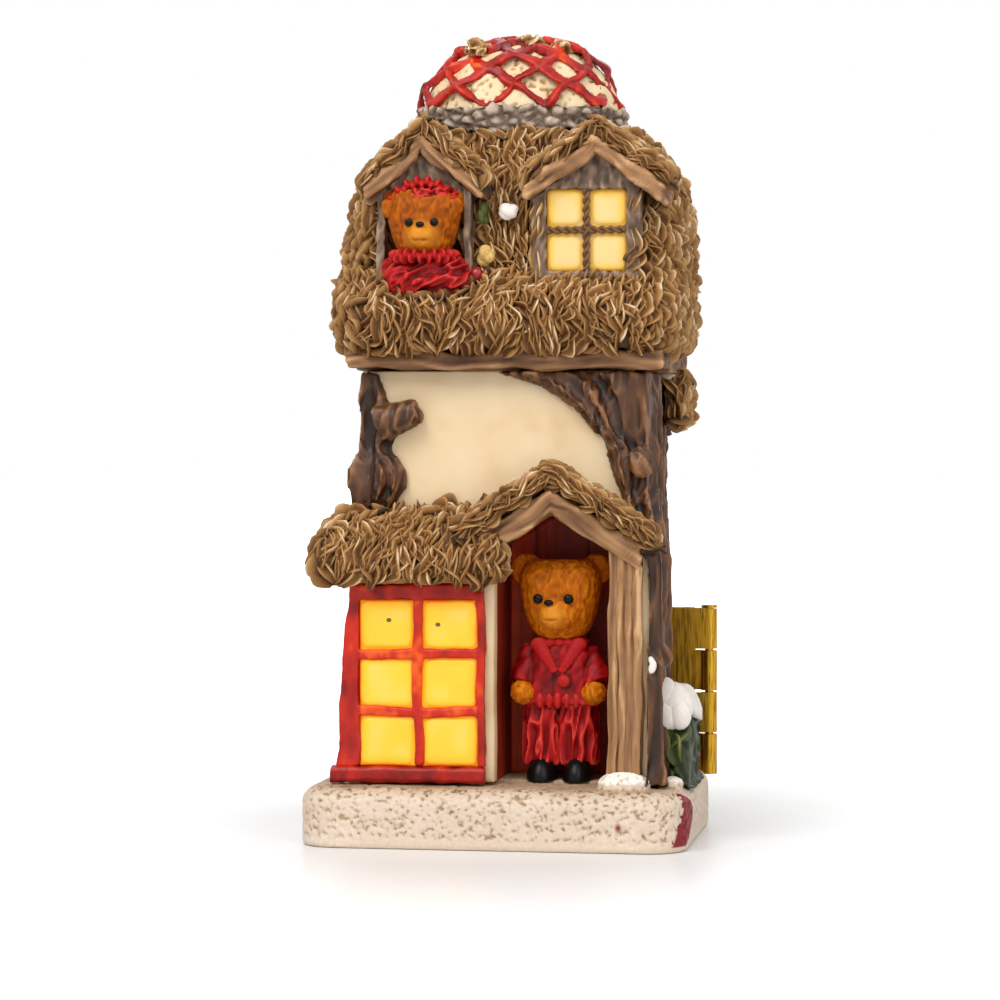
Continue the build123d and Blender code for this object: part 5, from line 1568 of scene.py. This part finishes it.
@dataclass
class TimberWork:
    """The brown timber: post, boards, plate, dormer fronts and the roped window bars."""

    paints: Paintbox
    timbers: tuple[Timber, ...] = (
        Timber("porch_post", (0.75, 0.8, 20.0), 1.2 * MM, 0.26 * MM, 0.18, bend=0.4 * MM),
        Timber(
            "porch_boards", (7.0, 2.4, 0.9), 1.2 * MM, tone=0.05, pitch=0.62, bend=0.7 * MM, swell=0.15 * MM
        ),
        Timber("eave_plate", (9.0, 3.0, 1.0), 1.2 * MM, 0.42 * MM, -0.34, bend=0.6 * MM, swell=0.3 * MM),
        Timber("left_dormer_frame", (0.8, 1.6, 1.7), 0.8 * MM, tone=-0.05, pitch=0.9, finish=WEATHERED),
        Timber("right_dormer_frame", (0.8, 1.6, 1.7), 0.8 * MM, tone=-0.05, pitch=0.9, finish=WEATHERED),
        Timber(
            "left_dormer_boards",
            (5.0, 2.0, 0.7),
            1.3 * MM,
            tone=-0.05,
            pitch=0.88,
            bend=0.8 * MM,
            swell=0.5 * MM,
        ),
        Timber(
            "right_dormer_boards",
            (5.0, 2.0, 0.7),
            1.3 * MM,
            tone=-0.05,
            pitch=0.69,
            bend=0.8 * MM,
            swell=0.5 * MM,
        ),
    )
    bend_size: float = 5.0 * MM
    stray: float = 1.2 * MM
    stray_size: float = 7.0 * MM
    fine: float = 2.0
    long: float = 9.0
    wash: float = 0.5 * MM
    rope_radius: float = 0.36 * MM
    rope_tone: float = 0.42
    rope_pitch: float = 3.0 * MM
    rope_sides: int = 8
    rope_step: float = 0.25 * MM

    def build(self) -> None:
        """Makes each timber, then the ropes."""
        for index, timber in enumerate(self.timbers):
            self.carve(timber, ClayNoise(60 + index))
        self.ropes()

    def carve(self, timber: Timber, noise: ClayNoise) -> None:
        """Makes one timber with a grain along its length.

        Args:
            timber: How it is carved.
            noise: Noise of its grain.
        """
        skin = clay_copy(f"{timber.node}_timber", (timber.node,), timber.voxel, 8 if timber.pitch else 4)
        waver(skin, noise, self.bend_size, timber.bend)
        low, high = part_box(timber.node)
        peak = (low.x + high.x) / 2
        points = points_of(skin.data)
        bent = points.copy()
        bent[:, 2] += timber.pitch * np.abs(points[:, 0] - peak)
        stray = noise.value(points / self.stray_size) * self.stray * min(1.0, self.long / max(timber.grain))
        bent[:, 2] += stray * (timber.grain[2] < self.fine)
        bent[:, 0] += stray * (timber.grain[0] < self.fine)
        grain = 0.5 + timber.tone + 0.5 * noise.fractal(bent / (np.array(timber.grain) * MM), 3)
        model_clay(skin, timber.depth, grain, 0.5 - timber.swell / timber.depth, self.wash, 16)
        self.paints.dress(skin, Paint.BROWN_TIMBER, (timber.node,), timber.finish)

    def ropes(self) -> None:
        """Lays a two-strand twist over each bar of the lit dormer's window."""
        low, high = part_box("dormer_panes")
        y = low.y - 0.35 * MM
        x = (low.x + high.x) / 2
        z = (low.z + high.z) / 2
        work = bmesh.new()
        for strand in (0.0, math.pi):
            self.twist(work, Vector((x, y, low.z)), Vector((x, y, high.z)), strand)
            self.twist(work, Vector((low.x, y, z)), Vector((high.x, y, z)), strand)
        rope = mesh_from(work, "dormer_window_ropes")
        store(rope.data, "relief", self.rope_tone)
        self.paints.dress(rope, Paint.BROWN_TIMBER)

    def twist(self, work: bmesh.types.BMesh, start: Vector, end: Vector, phase: float) -> None:
        """Adds one strand that winds round a straight line.

        Args:
            work: The working mesh.
            start: Where the line starts.
            end: Where the line ends.
            phase: Angle that the strand starts at.
        """
        along = (end - start).normalized()
        side = along.orthogonal().normalized()
        other = along.cross(side)
        length = (end - start).length
        steps = int(length / self.rope_step)
        rings = []
        for step in range(steps + 1):
            turn = phase + 2 * math.pi * step / steps * length / self.rope_pitch
            middle = start + along * (length * step / steps)
            middle += (side * math.cos(turn) + other * math.sin(turn)) * self.rope_radius
            ring = []
            for corner in range(self.rope_sides):
                angle = 2 * math.pi * corner / self.rope_sides
                outward = side * math.cos(angle) + other * math.sin(angle)
                ring.append(work.verts.new(middle + outward * self.rope_radius))
            rings.append(ring)
        for before, after in zip(rings, rings[1:]):
            for corner in range(self.rope_sides):
                follow = (corner + 1) % self.rope_sides
                work.faces.new((before[corner], before[follow], after[follow], after[corner]))
        work.faces.new(rings[0][::-1])
        work.faces.new(rings[-1])


@dataclass
class BarkWork:
    """The two trunks and the rear hatch: fine furrows, painted darker in them, partly wash and partly
    painted shade, and lighter over their ridges as a painted satin sheen.
    """

    paints: Paintbox
    voxel: float = 0.42 * MM
    depth: float = 0.62 * MM
    width: float = 1.45 * MM
    stretch: float = 8.0
    wander: float = 2.0
    wander_size: float = 9.0 * MM
    wash: float = 0.95 * MM

    def build(self) -> None:
        """Makes the trunks and the hatch."""
        self.bark("right_trunk", "house", Paint.BARK, 21)
        self.bark("left_trunk", "house", Paint.BARK, 22)
        self.bark("rear_door", "rear_hatch", Paint.HATCH, 23)

    def bark(self, node: str, body: str, slot: Paint, seed: int) -> None:
        """Makes one piece of bark.

        Args:
            node: The node it stands for.
            body: The body it moves with.
            slot: Its finish.
            seed: Seed of its furrows.
        """
        noise = ClayNoise(seed)
        skin = clay_copy(f"{node}_bark", (node,), self.voxel, 7)
        points = points_of(skin.data)
        warp = noise.value(points / self.wander_size) * self.wander
        along = points / np.array([self.width, self.width, self.stretch * self.width])
        along[:, 0] += warp
        along[:, 1] += warp
        furrows = 0.8 * noise.ridged(along) + 0.2 * noise.lumps(points / (1.6 * MM))
        model_clay(skin, self.depth, furrows, lift=0.75, wash=self.wash, passes=36)
        self.paints.dress(skin, slot, (node,), body=body)


@dataclass
class Crown:
    """The crown: pitted plaster, red lattice and a stone course."""

    paints: Paintbox
    plaster_voxel: float = 0.3 * MM
    plaster_depth: float = 0.7 * MM
    pit_size: float = 0.6 * MM
    lattice_voxel: float = 0.24 * MM
    lattice_depth: float = 0.9 * MM
    lattice_bend: float = 1.0 * MM
    lattice_bend_size: float = 4.5 * MM
    stone_voxel: float = 0.3 * MM
    stone_depth: float = 1.5 * MM
    stone_bend: float = 0.5 * MM
    stone_bend_size: float = 2.4 * MM
    stone_size: tuple[float, float, float] = (2.6, 2.6, 1.9)

    def build(self) -> None:
        """Makes the crown's three pieces."""
        noise = ClayNoise(31)
        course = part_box("crown_stones")[1].z
        wall = clay_copy("crown_plaster_skin", ("crown_wall",), self.plaster_voxel, 2)
        points = points_of(wall.data)
        pits = np.clip(noise.value(points / self.pit_size) * 3.0 - 1.0, 0, 1)
        sunk = points[:, 2] < course - 0.6 * MM
        pitted = 0.68 + 0.24 * noise.fractal(points / (4 * MM)) - 0.55 * pits - sunk
        model_clay(wall, self.plaster_depth, pitted, lift=0.75)
        self.paints.dress(wall, Paint.CROWN_PLASTER, ("crown_wall",))
        lattice = clay_copy("crown_lattice_paint", ("crown_lattice",), self.lattice_voxel, 4)
        waver(lattice, noise, self.lattice_bend_size, self.lattice_bend)
        points = points_of(lattice.data)
        wavering = noise.lumps(points / (2.4 * MM))
        model_clay(lattice, self.lattice_depth, wavering, lift=0.4, wash=0.5 * MM, passes=12)
        store(lattice.data, "tint", 0.42 * noise.fractal(points_of(lattice.data) / (5 * MM), 2) - 0.06)
        self.paints.dress(lattice, Paint.RED_TIMBER, ("crown_lattice",))
        stones = clay_copy("crown_stones_skin", ("crown_stones",), self.stone_voxel, 6)
        waver(stones, noise, self.stone_bend_size, self.stone_bend)
        points = points_of(stones.data)
        blocks = np.clip(noise.cells(points / (np.array(self.stone_size) * MM)) * 2.4, 0, 1)
        chipped = 0.06 + 0.66 * blocks + 0.22 * noise.fractal(points / (0.9 * MM), 2)
        model_clay(stones, self.stone_depth, chipped)
        self.paints.dress(stones, Paint.STONE, ("crown_stones",))


@dataclass(frozen=True)
class BearFace:
    """Where a bear's features are, in millimetres across and up, and how large they are."""

    name: str
    node: str
    eyes: tuple[float, float]
    eye_height: float
    nose: tuple[float, float]
    muzzle: tuple[float, float, float]
    eye_size: float
    nose_size: float
    tint: float = 0.0
    ears: tuple[tuple[float, float, float], ...] = ()


@dataclass(frozen=True)
class Garment:
    """How one garment falls: its folds along each axis in millimetres, their depth, slant and tone."""

    node: str
    seed: int
    depth: float
    folds: tuple[float, float, float]
    slant: float = 0.0
    tint: float = 0.0
    crisp: bool = True


@dataclass
class Bears:
    """Both bears: fur, clothes, faces and shoes."""

    paints: Paintbox
    voxel: float = 0.22 * MM
    trim_voxel: float = 0.2 * MM
    trim_tint: float = 0.08
    trim_relief: float = 0.62
    trim_depth: float = 0.1 * MM
    trim_wash: float = 0.6 * MM
    fur_depth: float = 0.5 * MM
    fur_wash: float = 0.85 * MM
    fur_stroke: tuple[float, float, float] = (0.42, 0.42, 0.85)
    muzzle_rise: float = 0.7
    mouth_sink: float = 0.15
    ear_setback: float = 3.2 * MM
    shop_face: BearFace = BearFace(
        "shop_bear",
        "shop_bear_head",
        eyes=(6.9, 12.2),
        eye_height=42.0,
        nose=(8.9, 41.4),
        muzzle=(9.2, 39.0, 2.6),
        eye_size=0.85 * MM,
        nose_size=0.68 * MM,
    )
    window_face: BearFace = BearFace(
        "window_bear",
        "window_bear_head",
        eyes=(-13.9, -9.5),
        eye_height=106.0,
        nose=(-11.8, 105.6),
        muzzle=(-11.8, 103.6, 2.9),
        eye_size=0.7 * MM,
        nose_size=0.62 * MM,
        tint=-0.18,
        ears=((-17.3, 108.6, 1.8), (-6.8, 108.8, 1.8)),
    )

    def build(self) -> None:
        """Makes the shop bear and the window bear."""
        self.head(self.shop_face, 51)
        self.head(self.window_face, 52)
        self.paints.dress(self.furred("shop_bear_paws", 53), Paint.FUR, ("shop_bear_paws",))
        coat = Garment("shop_bear_jacket", 54, 1.2 * MM, (1.8, 1.8, 3.2), slant=0.5, crisp=False)
        jacket = self.clothed(coat)
        self.clothed(Garment("shop_bear_trousers", 55, 1.3 * MM, (1.2, 1.5, 6.0), slant=0.12, tint=0.07))
        self.clothed(Garment("window_bear_pyjama", 56, 1.5 * MM, (4.0, 1.8, 1.5), slant=-0.5, tint=-0.05))
        self.clothed(Garment("window_bear_cap", 57, 1.2 * MM, (1.1, 1.5, 1.4), slant=0.3))
        self.lapels(jacket)
        self.frills()
        dress_node("shop_bear_shoes", self.paints(Paint.BLACK_SHOE))

    def furred(self, node: str, seed: int) -> bpy.types.Object:
        """The furry skin of a node, not yet painted."""
        return self.tufted(clay_copy(f"{node}_fur", (node,), self.voxel, 6), seed)

    def tufted(self, fur: bpy.types.Object, seed: int) -> bpy.types.Object:
        """Scratches fur into a skin.

        Args:
            fur: The skin.
            seed: Seed of the scratches.

        Returns:
            The same skin.
        """
        noise = ClayNoise(seed)
        points = points_of(fur.data)
        strokes = points / (np.array(self.fur_stroke) * MM)
        strokes[:, 0] += noise.value(points / (2.0 * MM)) * 2.5
        tufts = 0.6 + 0.06 * noise.fractal(points / (2.0 * MM)) + 0.28 * noise.value(strokes)
        return model_clay(fur, self.fur_depth, tufts, wash=self.fur_wash, passes=24)

    def head(self, face: BearFace, seed: int) -> None:
        """Makes a head with its pale muzzle, its mouth, its ears, its eyes and its nose.

        Args:
            face: Where the features are.
            seed: Seed of the fur.
        """
        fur = self.furred(face.node, seed)
        points = points_of(fur.data)
        front = normals_of(fur.data)[:, 1] < 0
        x, z, radius = (value * MM for value in face.muzzle)
        far = np.hypot(points[:, 0] - x, points[:, 2] - z) / radius
        side = np.abs(points[:, 0] - x) / radius
        lip = np.abs(points[:, 2] - z + (0.2 - 0.12 * side**2) * radius)
        mouth = np.clip(1.4 - lip / (0.25 * MM), 0, 1) * np.clip(2.4 - 4 * side, 0, 1) * front
        rise = self.muzzle_rise * np.clip(1 - far**2, 0, 1) * front
        points[:, 1] -= (rise - self.mouth_sink * mouth) * MM
        move(fur.data, points)
        store(fur.data, "accent", 0.8 * np.clip(1.6 - 1.3 * far, 0, 1) * front * (1 - 0.7 * mouth))
        store(fur.data, "tint", face.tint - 0.2 * mouth)
        self.paints.dress(fur, Paint.FUR, (face.node,))
        if face.ears:
            self.ears(face, seed)
        work = bmesh.new()
        z = face.eye_height * MM
        for across in face.eyes:
            spot = Vector((across * MM, front_of(fur.data, across * MM, z), z))
            ellipsoid(work, spot, Vector((face.eye_size, face.eye_size * 0.6, face.eye_size)))
        x, z = (value * MM for value in face.nose)
        tip = Vector((x, front_of(fur.data, x, z), z))
        ellipsoid(work, tip, Vector((face.nose_size * 1.2, face.nose_size * 0.8, face.nose_size * 0.8)))
        obj = mesh_from(work, f"{face.name}_eyes_and_nose")
        self.paints.dress(obj, Paint.BLACK_SHOE)

    def ears(self, face: BearFace, seed: int) -> None:
        """Makes the ears of a bear whose head solid has none.

        Args:
            face: Where the ears are.
            seed: Seed of the fur.
        """
        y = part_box(face.node)[0].y + self.ear_setback
        work = bmesh.new()
        for x, z, radius in face.ears:
            ellipsoid(work, Vector((x * MM, y, z * MM)), Vector((1, 0.7, 1)) * (radius * MM))
        ears = self.tufted(clay_skin(mesh_from(work, f"{face.name}_ears"), self.voxel), seed)
        store(ears.data, "tint", face.tint)
        self.paints.dress(ears, Paint.FUR)

    def clothed(self, garment: Garment) -> bpy.types.Object:
        """Makes one painted garment with folds.

        Args:
            garment: How it falls.

        Returns:
            The piece.
        """
        noise = ClayNoise(garment.seed)
        cloth = clay_copy(f"{garment.node}_cloth", (garment.node,), self.voxel, 5)
        points = points_of(cloth.data)
        leant = points.copy()
        leant[:, 2] += garment.slant * points[:, 0]
        leant[:, 0] -= garment.slant * points[:, 2]
        leant /= np.array(garment.folds) * MM
        folds = 0.15 + 0.75 * noise.ridged(leant) if garment.crisp else noise.lumps(leant, 2)
        model_clay(cloth, garment.depth, folds, wash=(0.8 if garment.crisp else 0.5) * MM, passes=24)
        store(cloth.data, "tint", garment.tint)
        return self.paints.dress(cloth, Paint.RED_CLOTH, (garment.node,))

    def lapels(self, jacket: bpy.types.Object) -> None:
        """Adds a rolled collar, two lapels, a button and a fluted hem to the jacket, and paints shade in a
        ring round the button and down the line where its fronts meet.

        Args:
            jacket: The jacket's skin.
        """
        low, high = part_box("shop_bear_jacket")
        x = (low.x + high.x) / 2
        body_low, body_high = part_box("shop_bear_trousers")
        bear_middle = (body_low.y + body_high.y) / 2
        work = bmesh.new()
        for side in (-1, 1):
            for step in range(7):
                share = step / 6
                across = x + side * (3.4 - 2.6 * share) * MM
                up = high.z - (1.0 + 4.2 * share) * MM
                spot = Vector((across, front_of(jacket.data, across, up) - 0.05 * MM, up))
                ellipsoid(work, spot, Vector((1.35, 0.65, 1.1)) * (MM * (1.15 - 0.55 * share)), rings=8)
        for step in range(9):
            angle = math.pi * (step / 8 - 0.5)
            spot = on_arc(x, bear_middle, high.z - 0.7 * MM, 3.9 * MM, 2.9 * MM, angle)
            ellipsoid(work, spot, Vector((1.1, 0.9, 0.8)) * MM, rings=8)
        button = high.z - 7.2 * MM
        across = x + 1.0 * MM
        spot = Vector((across, front_of(jacket.data, across, button), button))
        ellipsoid(work, spot, Vector((1.15, 0.7, 1.15)) * MM)
        # Painted shade: a dark ring round the button and a dark line down the jacket's opening below it, on
        # the front faces.
        points = points_of(jacket.data)
        ring = np.abs(np.hypot(points[:, 0] - across, points[:, 2] - button) - 1.3 * MM)
        seam = np.abs(points[:, 0] - x + 0.7 * MM) + (points[:, 2] > button + 1.4 * MM)
        dark = np.clip(1.5 - np.minimum(ring, seam) / (0.3 * MM), 0, 1) * (normals_of(jacket.data)[:, 1] < 0)
        store(jacket.data, "tint", -0.1 - 0.28 * dark)
        for step in range(15):
            angle = math.pi * 1.2 * (step / 14 - 0.5)
            flare = (0.3 if step % 2 else -0.2) * MM
            spot = on_arc(x, bear_middle, low.z + 0.5 * MM, 5.7 * MM + flare, 4.1 * MM + flare, angle)
            ellipsoid(work, spot, Vector((0.8, 0.9, 1.5)) * MM, Matrix.Rotation(angle, 3, "Z"), 8)
        self.trim(work, "shop_bear_lapels")

    def frills(self) -> None:
        """Adds the frilled collar and the frill of the nightcap to the window bear."""
        low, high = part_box("window_bear_head")
        x = (low.x + high.x) / 2
        middle = (low.y + high.y) / 2
        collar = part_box("window_bear_pyjama")[1].z
        brim = high.z - 5.0 * MM
        work = bmesh.new()
        for step in range(25):
            angle = math.pi * 1.15 * (step / 24 - 0.5)
            rise = (0.45 if step % 2 else -0.35) * MM
            spot = on_arc(x, middle, collar + rise, 5.0 * MM, 4.0 * MM, angle)
            turn = Matrix.Rotation(angle, 3, "Z")
            ellipsoid(work, spot, Vector((0.42, 1.3, 0.95)) * MM, turn, 8)
        for step in range(17):
            angle = math.pi * (0.1 + 0.8 * step / 16)
            rise = (0.4 if step % 2 else -0.3) * MM
            reach = 5.4 * MM + rise
            up = brim + reach * math.sin(angle) * 0.95
            spot = Vector((x + reach * math.cos(angle), middle - 1.6 * MM, up))
            turn = Matrix.Rotation(-angle, 3, "Y")
            ellipsoid(work, spot, Vector((1.0, 1.5, 0.5)) * MM, turn, 8)
        self.trim(work, "window_bear_frills")

    def trim(self, work: bmesh.types.BMesh, name: str) -> None:
        """Turns the parts of a garment's trim into one skin.

        Args:
            work: The working mesh, whose shells overlap.
            name: Name of the piece.
        """
        trim = clay_skin(mesh_from(work, name), self.trim_voxel, 2)
        plain = np.full(len(trim.data.vertices), self.trim_relief)
        model_clay(trim, self.trim_depth, plain, lift=self.trim_relief, wash=self.trim_wash, passes=20)
        store(trim.data, "tint", self.trim_tint)
        self.paints.dress(trim, Paint.RED_CLOTH)


@dataclass
class ShrubWork:
    """The evergreen shrub and the snow on it."""

    paints: Paintbox
    voxel: float = 0.4 * MM
    depth: float = 1.2 * MM
    fold_size: float = 3.0 * MM
    snow_depth: float = 0.8 * MM
    snow_lump: float = 2.0 * MM
    bare_side: float = 2.6 * MM

    def build(self) -> None:
        """Makes the shrub and its snow."""
        noise = ClayNoise(71)
        shrub = clay_copy("shrub_leaves", ("shrub",), self.voxel, 2)
        points = points_of(shrub.data)
        folds = 0.5 * noise.ridged(points / self.fold_size)
        model_clay(shrub, self.depth, folds, lift=0.9)
        mesh = shrub.data
        points = points_of(mesh)
        normals = normals_of(mesh)
        capped = points[:, 2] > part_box("shrub_snow")[0].z + 2.0 * MM
        outer = points[:, 0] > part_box("shrub")[1].x - self.bare_side
        hidden = (normals[:, 0] < -0.5) | (normals[:, 2] < -0.6)
        store(mesh, "cover", np.where(hidden | capped | outer, 0.0, 1.0))
        store(mesh, "flow", downhill(points, normals, noise))
        leaves = StrandCover(
            "shrub",
            length=5.6 * MM,
            width=3.8 * MM,
            height=0.45,
            arch=1.2 * MM,
            sway=0.8 * MM,
            spacing=2.0 * MM,
            turn=1.2,
            variants=7,
            seed=23,
            tints=(-0.15, 0.2),
        )
        leaves.apply(shrub, leaves.tree(leaves.strands(), self.paints(Paint.LEAF_GREEN)), 5)
        self.paints.dress(shrub, Paint.LEAF_GREEN, ("shrub",))
        snow = clay_copy("shrub_snow_skin", ("shrub_snow",), self.voxel, 4)
        points = points_of(snow.data)
        lumps = 0.75 + 0.3 * noise.fractal(points / self.snow_lump)
        model_clay(snow, self.snow_depth, lumps, lift=0.2)
        self.paints.dress(snow, Paint.SNOW, ("shrub_snow",), FRESH_SNOW)


@dataclass(frozen=True)
class Sprig:
    """One small modelled trimming: its middle and radii in millimetres, its lobes and its finish."""

    name: str
    middle: tuple[float, float, float]
    radii: tuple[float, float, float]
    slot: Paint
    lobes: int = 1
    finish: Finish | None = None


@dataclass
class Trimmings:
    """Leaves, a rose, a berry, moss and flecks of snow about the house."""

    paints: Paintbox
    moss_voxel: float = 0.25 * MM
    moss_depth: float = 1.2 * MM
    moss_crumb: float = 1.5 * MM
    moss_wash: float = 0.8 * MM
    sprigs: tuple[Sprig, ...] = (
        Sprig("roof_snow", (2.0, -17.6, 108.1), (2.2, 1.4, 1.5), Paint.SNOW, 5, FRESH_SNOW),
        Sprig("roof_leaves", (-2.0, -17.6, 107.6), (1.0, 1.1, 1.9), Paint.LEAF_GREEN, 4),
        Sprig("roof_rose", (-1.4, -18.0, 100.5), (1.6, 1.2, 1.7), Paint.LEAF_GREEN, 9, ROSE),
        Sprig("roof_berry", (-2.9, -19.0, 97.4), (1.15, 1.1, 1.2), Paint.LEAF_GREEN, finish=BERRY),
        Sprig("trunk_snow", (27.0, -19.6, 31.5), (0.9, 0.7, 1.6), Paint.SNOW, 3, FRESH_SNOW),
        Sprig("shrub_front_snow", (29.6, -12.4, 24.4), (3.4, 2.2, 4.4), Paint.SNOW, 9, FRESH_SNOW),
        Sprig("crown_moss_left", (-5.4, -3.2, 137.5), (2.4, 2.0, 1.6), Paint.THATCH, 9),
        Sprig("crown_moss_middle", (4.0, -2.6, 138.1), (2.4, 2.0, 1.4), Paint.THATCH, 9),
        Sprig("crown_moss_right", (9.4, -2.4, 137.3), (2.6, 2.0, 1.6), Paint.THATCH, 9),
        Sprig("hood_snow", (27.4, 6.2, 80.6), (1.7, 1.2, 0.9), Paint.SNOW, 3),
    )

    def build(self) -> None:
        """Makes each trimming from a few overlapping lobes."""
        rng = np.random.default_rng(5)
        noise = ClayNoise(81)
        for sprig in self.sprigs:
            work = bmesh.new()
            for _ in range(sprig.lobes):
                shift = rng.uniform(-0.45, 0.45, 3) * (sprig.lobes > 1)
                size = 1.0 if sprig.lobes == 1 else rng.uniform(0.55, 0.75)
                middle = [(m + s * r) * MM for m, s, r in zip(sprig.middle, shift, sprig.radii)]
                turn = Matrix.Rotation(rng.uniform(-0.6, 0.6), 3, "Y")
                ellipsoid(work, Vector(middle), Vector(sprig.radii) * (MM * size), turn)
            obj = mesh_from(work, sprig.name)
            if sprig.slot is Paint.THATCH:
                clay_skin(obj, self.moss_voxel, 1)
                crumbs = noise.ridged(points_of(obj.data) / self.moss_crumb)
                model_clay(obj, self.moss_depth, crumbs, 0.7, self.moss_wash, 16)
            else:
                store(obj.data, "relief", rng.uniform(0.55, 0.7, len(obj.data.vertices)))
            self.paints.dress(obj, sprig.slot, finish=sprig.finish)


@dataclass
class Fittings:
    """The hinge and the lamp works, which keep their CAD shapes."""

    paints: Paintbox
    plain: tuple[tuple[str, Paint], ...] = (
        ("hinge_house_leaf", Paint.BRASS),
        ("hinge_door_leaf", Paint.BRASS),
        ("hinge_pin", Paint.BRASS),
        ("house_leaf_screws", Paint.BRASS_SCREW),
        ("door_leaf_screws", Paint.BRASS_SCREW),
        ("house_magnet", Paint.STEEL),
        ("door_magnet", Paint.STEEL),
        ("battery_case", Paint.BLACK_PLASTIC),
        ("battery_lid", Paint.BLACK_PLASTIC),
        ("battery_lid_screw", Paint.STEEL),
        ("coin_cells", Paint.STEEL),
        ("cell_contacts", Paint.STEEL),
        ("slide_switch", Paint.BLACK_PLASTIC),
        ("switch_knob", Paint.BLACK_PLASTIC),
        ("lower_lamp_board", Paint.BOARD),
        ("lower_lamps", Paint.LAMP),
        ("upper_lamp_board", Paint.BOARD),
        ("upper_lamp", Paint.LAMP),
        ("lamp_leads", Paint.LEAD),
    )

    def build(self) -> None:
        """Paints each fitting."""
        for node, finish in self.plain:
            dress_node(node, self.paints(finish))


@dataclass
class Studio:
    """Floor, light and camera."""

    azimuth: float = 9.1
    distance: float = 561 * MM
    eye_height: float = 70.9 * MM
    aim_left: float = 1.99 * MM
    aim_height: float = 58.6 * MM
    lens: float = 114.9
    floor_size: float = 8.0
    floor_grey: float = 0.82
    near: float = 0.045
    fade: float = 0.2

    def build(self) -> None:
        """Sets the stage."""
        bpy.context.scene.view_settings.view_transform = "Standard"
        self.camera()
        self.floor()
        self.world()
        self.lamp("key_light", (-0.35, -0.75, 0.9), 0.7, 9.5)
        self.lamp("fill_light", (0.6, -0.7, 0.6), 0.8, 4.6)
        self.lamp("back_light", (0.0, 0.8, 0.9), 0.9, 4.4)

    def camera(self) -> None:
        """The camera, placed as the photographer stood."""
        angle = math.radians(self.azimuth)
        eye = Vector((self.distance * math.sin(angle), -self.distance * math.cos(angle), self.eye_height))
        aim = Vector((-self.aim_left * math.cos(angle), -self.aim_left * math.sin(angle), self.aim_height))
        data = bpy.data.cameras.new("photo_camera")
        data.lens = self.lens
        data.sensor_width = 36.0
        data.clip_start = 0.01
        obj = bpy.data.objects.new("photo_camera", data)
        obj.location = eye
        obj.rotation_euler = (aim - eye).to_track_quat("-Z", "Y").to_euler()
        bpy.context.scene.collection.objects.link(obj)
        bpy.context.scene.camera = obj

    def floor(self) -> None:
        """A plain pale floor that keeps the shadow near the house and is white to the camera far from it."""
        half = self.floor_size / 2
        mesh = bpy.data.meshes.new("studio_floor")
        corners = [(-half, -half, 0), (half, -half, 0), (half, half, 0), (-half, half, 0)]
        mesh.from_pydata(corners, [], [(0, 1, 2, 3)])
        material, tree, shader = new_material("studio_floor")
        shader.inputs["Base Color"].default_value = (*[self.floor_grey] * 3, 1)
        shader.inputs["Roughness"].default_value = 0.35
        shader.inputs["Specular IOR Level"].default_value = 0.3
        rays = tree.nodes.new("ShaderNodeLightPath")
        coords = tree.nodes.new("ShaderNodeTexCoord")
        away = tree.nodes.new("ShaderNodeVectorMath")
        away.operation = "LENGTH"
        tree.links.new(coords.outputs["Object"], away.inputs[0])
        far = math_node(tree, "MULTIPLY_ADD", away.outputs["Value"], 1 / self.fade, -self.near / self.fade)
        far = math_node(tree, "MINIMUM", math_node(tree, "MAXIMUM", far, 0.0), 1.0)
        lift = math_node(tree, "MULTIPLY", far, rays.outputs["Is Camera Ray"])
        shader.inputs["Emission Color"].default_value = (1, 1, 1, 1)
        tree.links.new(lift, shader.inputs["Emission Strength"])
        obj = new_object("studio_floor", mesh)
        mesh.materials.append(material)

    def world(self) -> None:
        """Even studio light, white to the camera and in reflections."""
        world = bpy.data.worlds.new("studio")
        bpy.context.scene.world = world
        world.use_nodes = True
        tree = world.node_tree
        back = tree.nodes["Background"]
        back.inputs["Color"].default_value = (1, 1, 1, 1)
        rays = tree.nodes.new("ShaderNodeLightPath")
        seen = math_node(tree, "MAXIMUM", rays.outputs["Is Camera Ray"], rays.outputs["Is Glossy Ray"])
        strength = math_node(tree, "MULTIPLY_ADD", seen, 0.6, 0.4)
        tree.links.new(strength, back.inputs["Strength"])

    def lamp(self, name: str, place_at: tuple[float, float, float], size: float, power: float) -> None:
        """One soft lamp aimed at the house.

        Args:
            name: Its name.
            place_at: Where it stands.
            size: Its width.
            power: Its power in watts.
        """
        data = bpy.data.lights.new(name, "AREA")
        data.size = size
        data.energy = power
        obj = bpy.data.objects.new(name, data)
        obj.location = place_at
        aim = Vector((0, 0, self.aim_height)) - obj.location
        obj.rotation_euler = aim.to_track_quat("-Z", "Y").to_euler()
        bpy.context.scene.collection.objects.link(obj)


def main() -> None:
    """Builds every part of the house in order."""
    logging.basicConfig(level=logging.INFO)
    paints = Paintbox()
    SnowBase(paints).build()
    Walls(paints).build()
    TimberWork(paints).build()
    BarkWork(paints).build()
    Crown(paints).build()
    Bears(paints).build()
    ShrubWork(paints).build()
    Trimmings(paints).build()
    Fittings(paints).build()
    ThatchWork(paints).build()
    Studio().build()


if __name__ == "__main__":
    main()
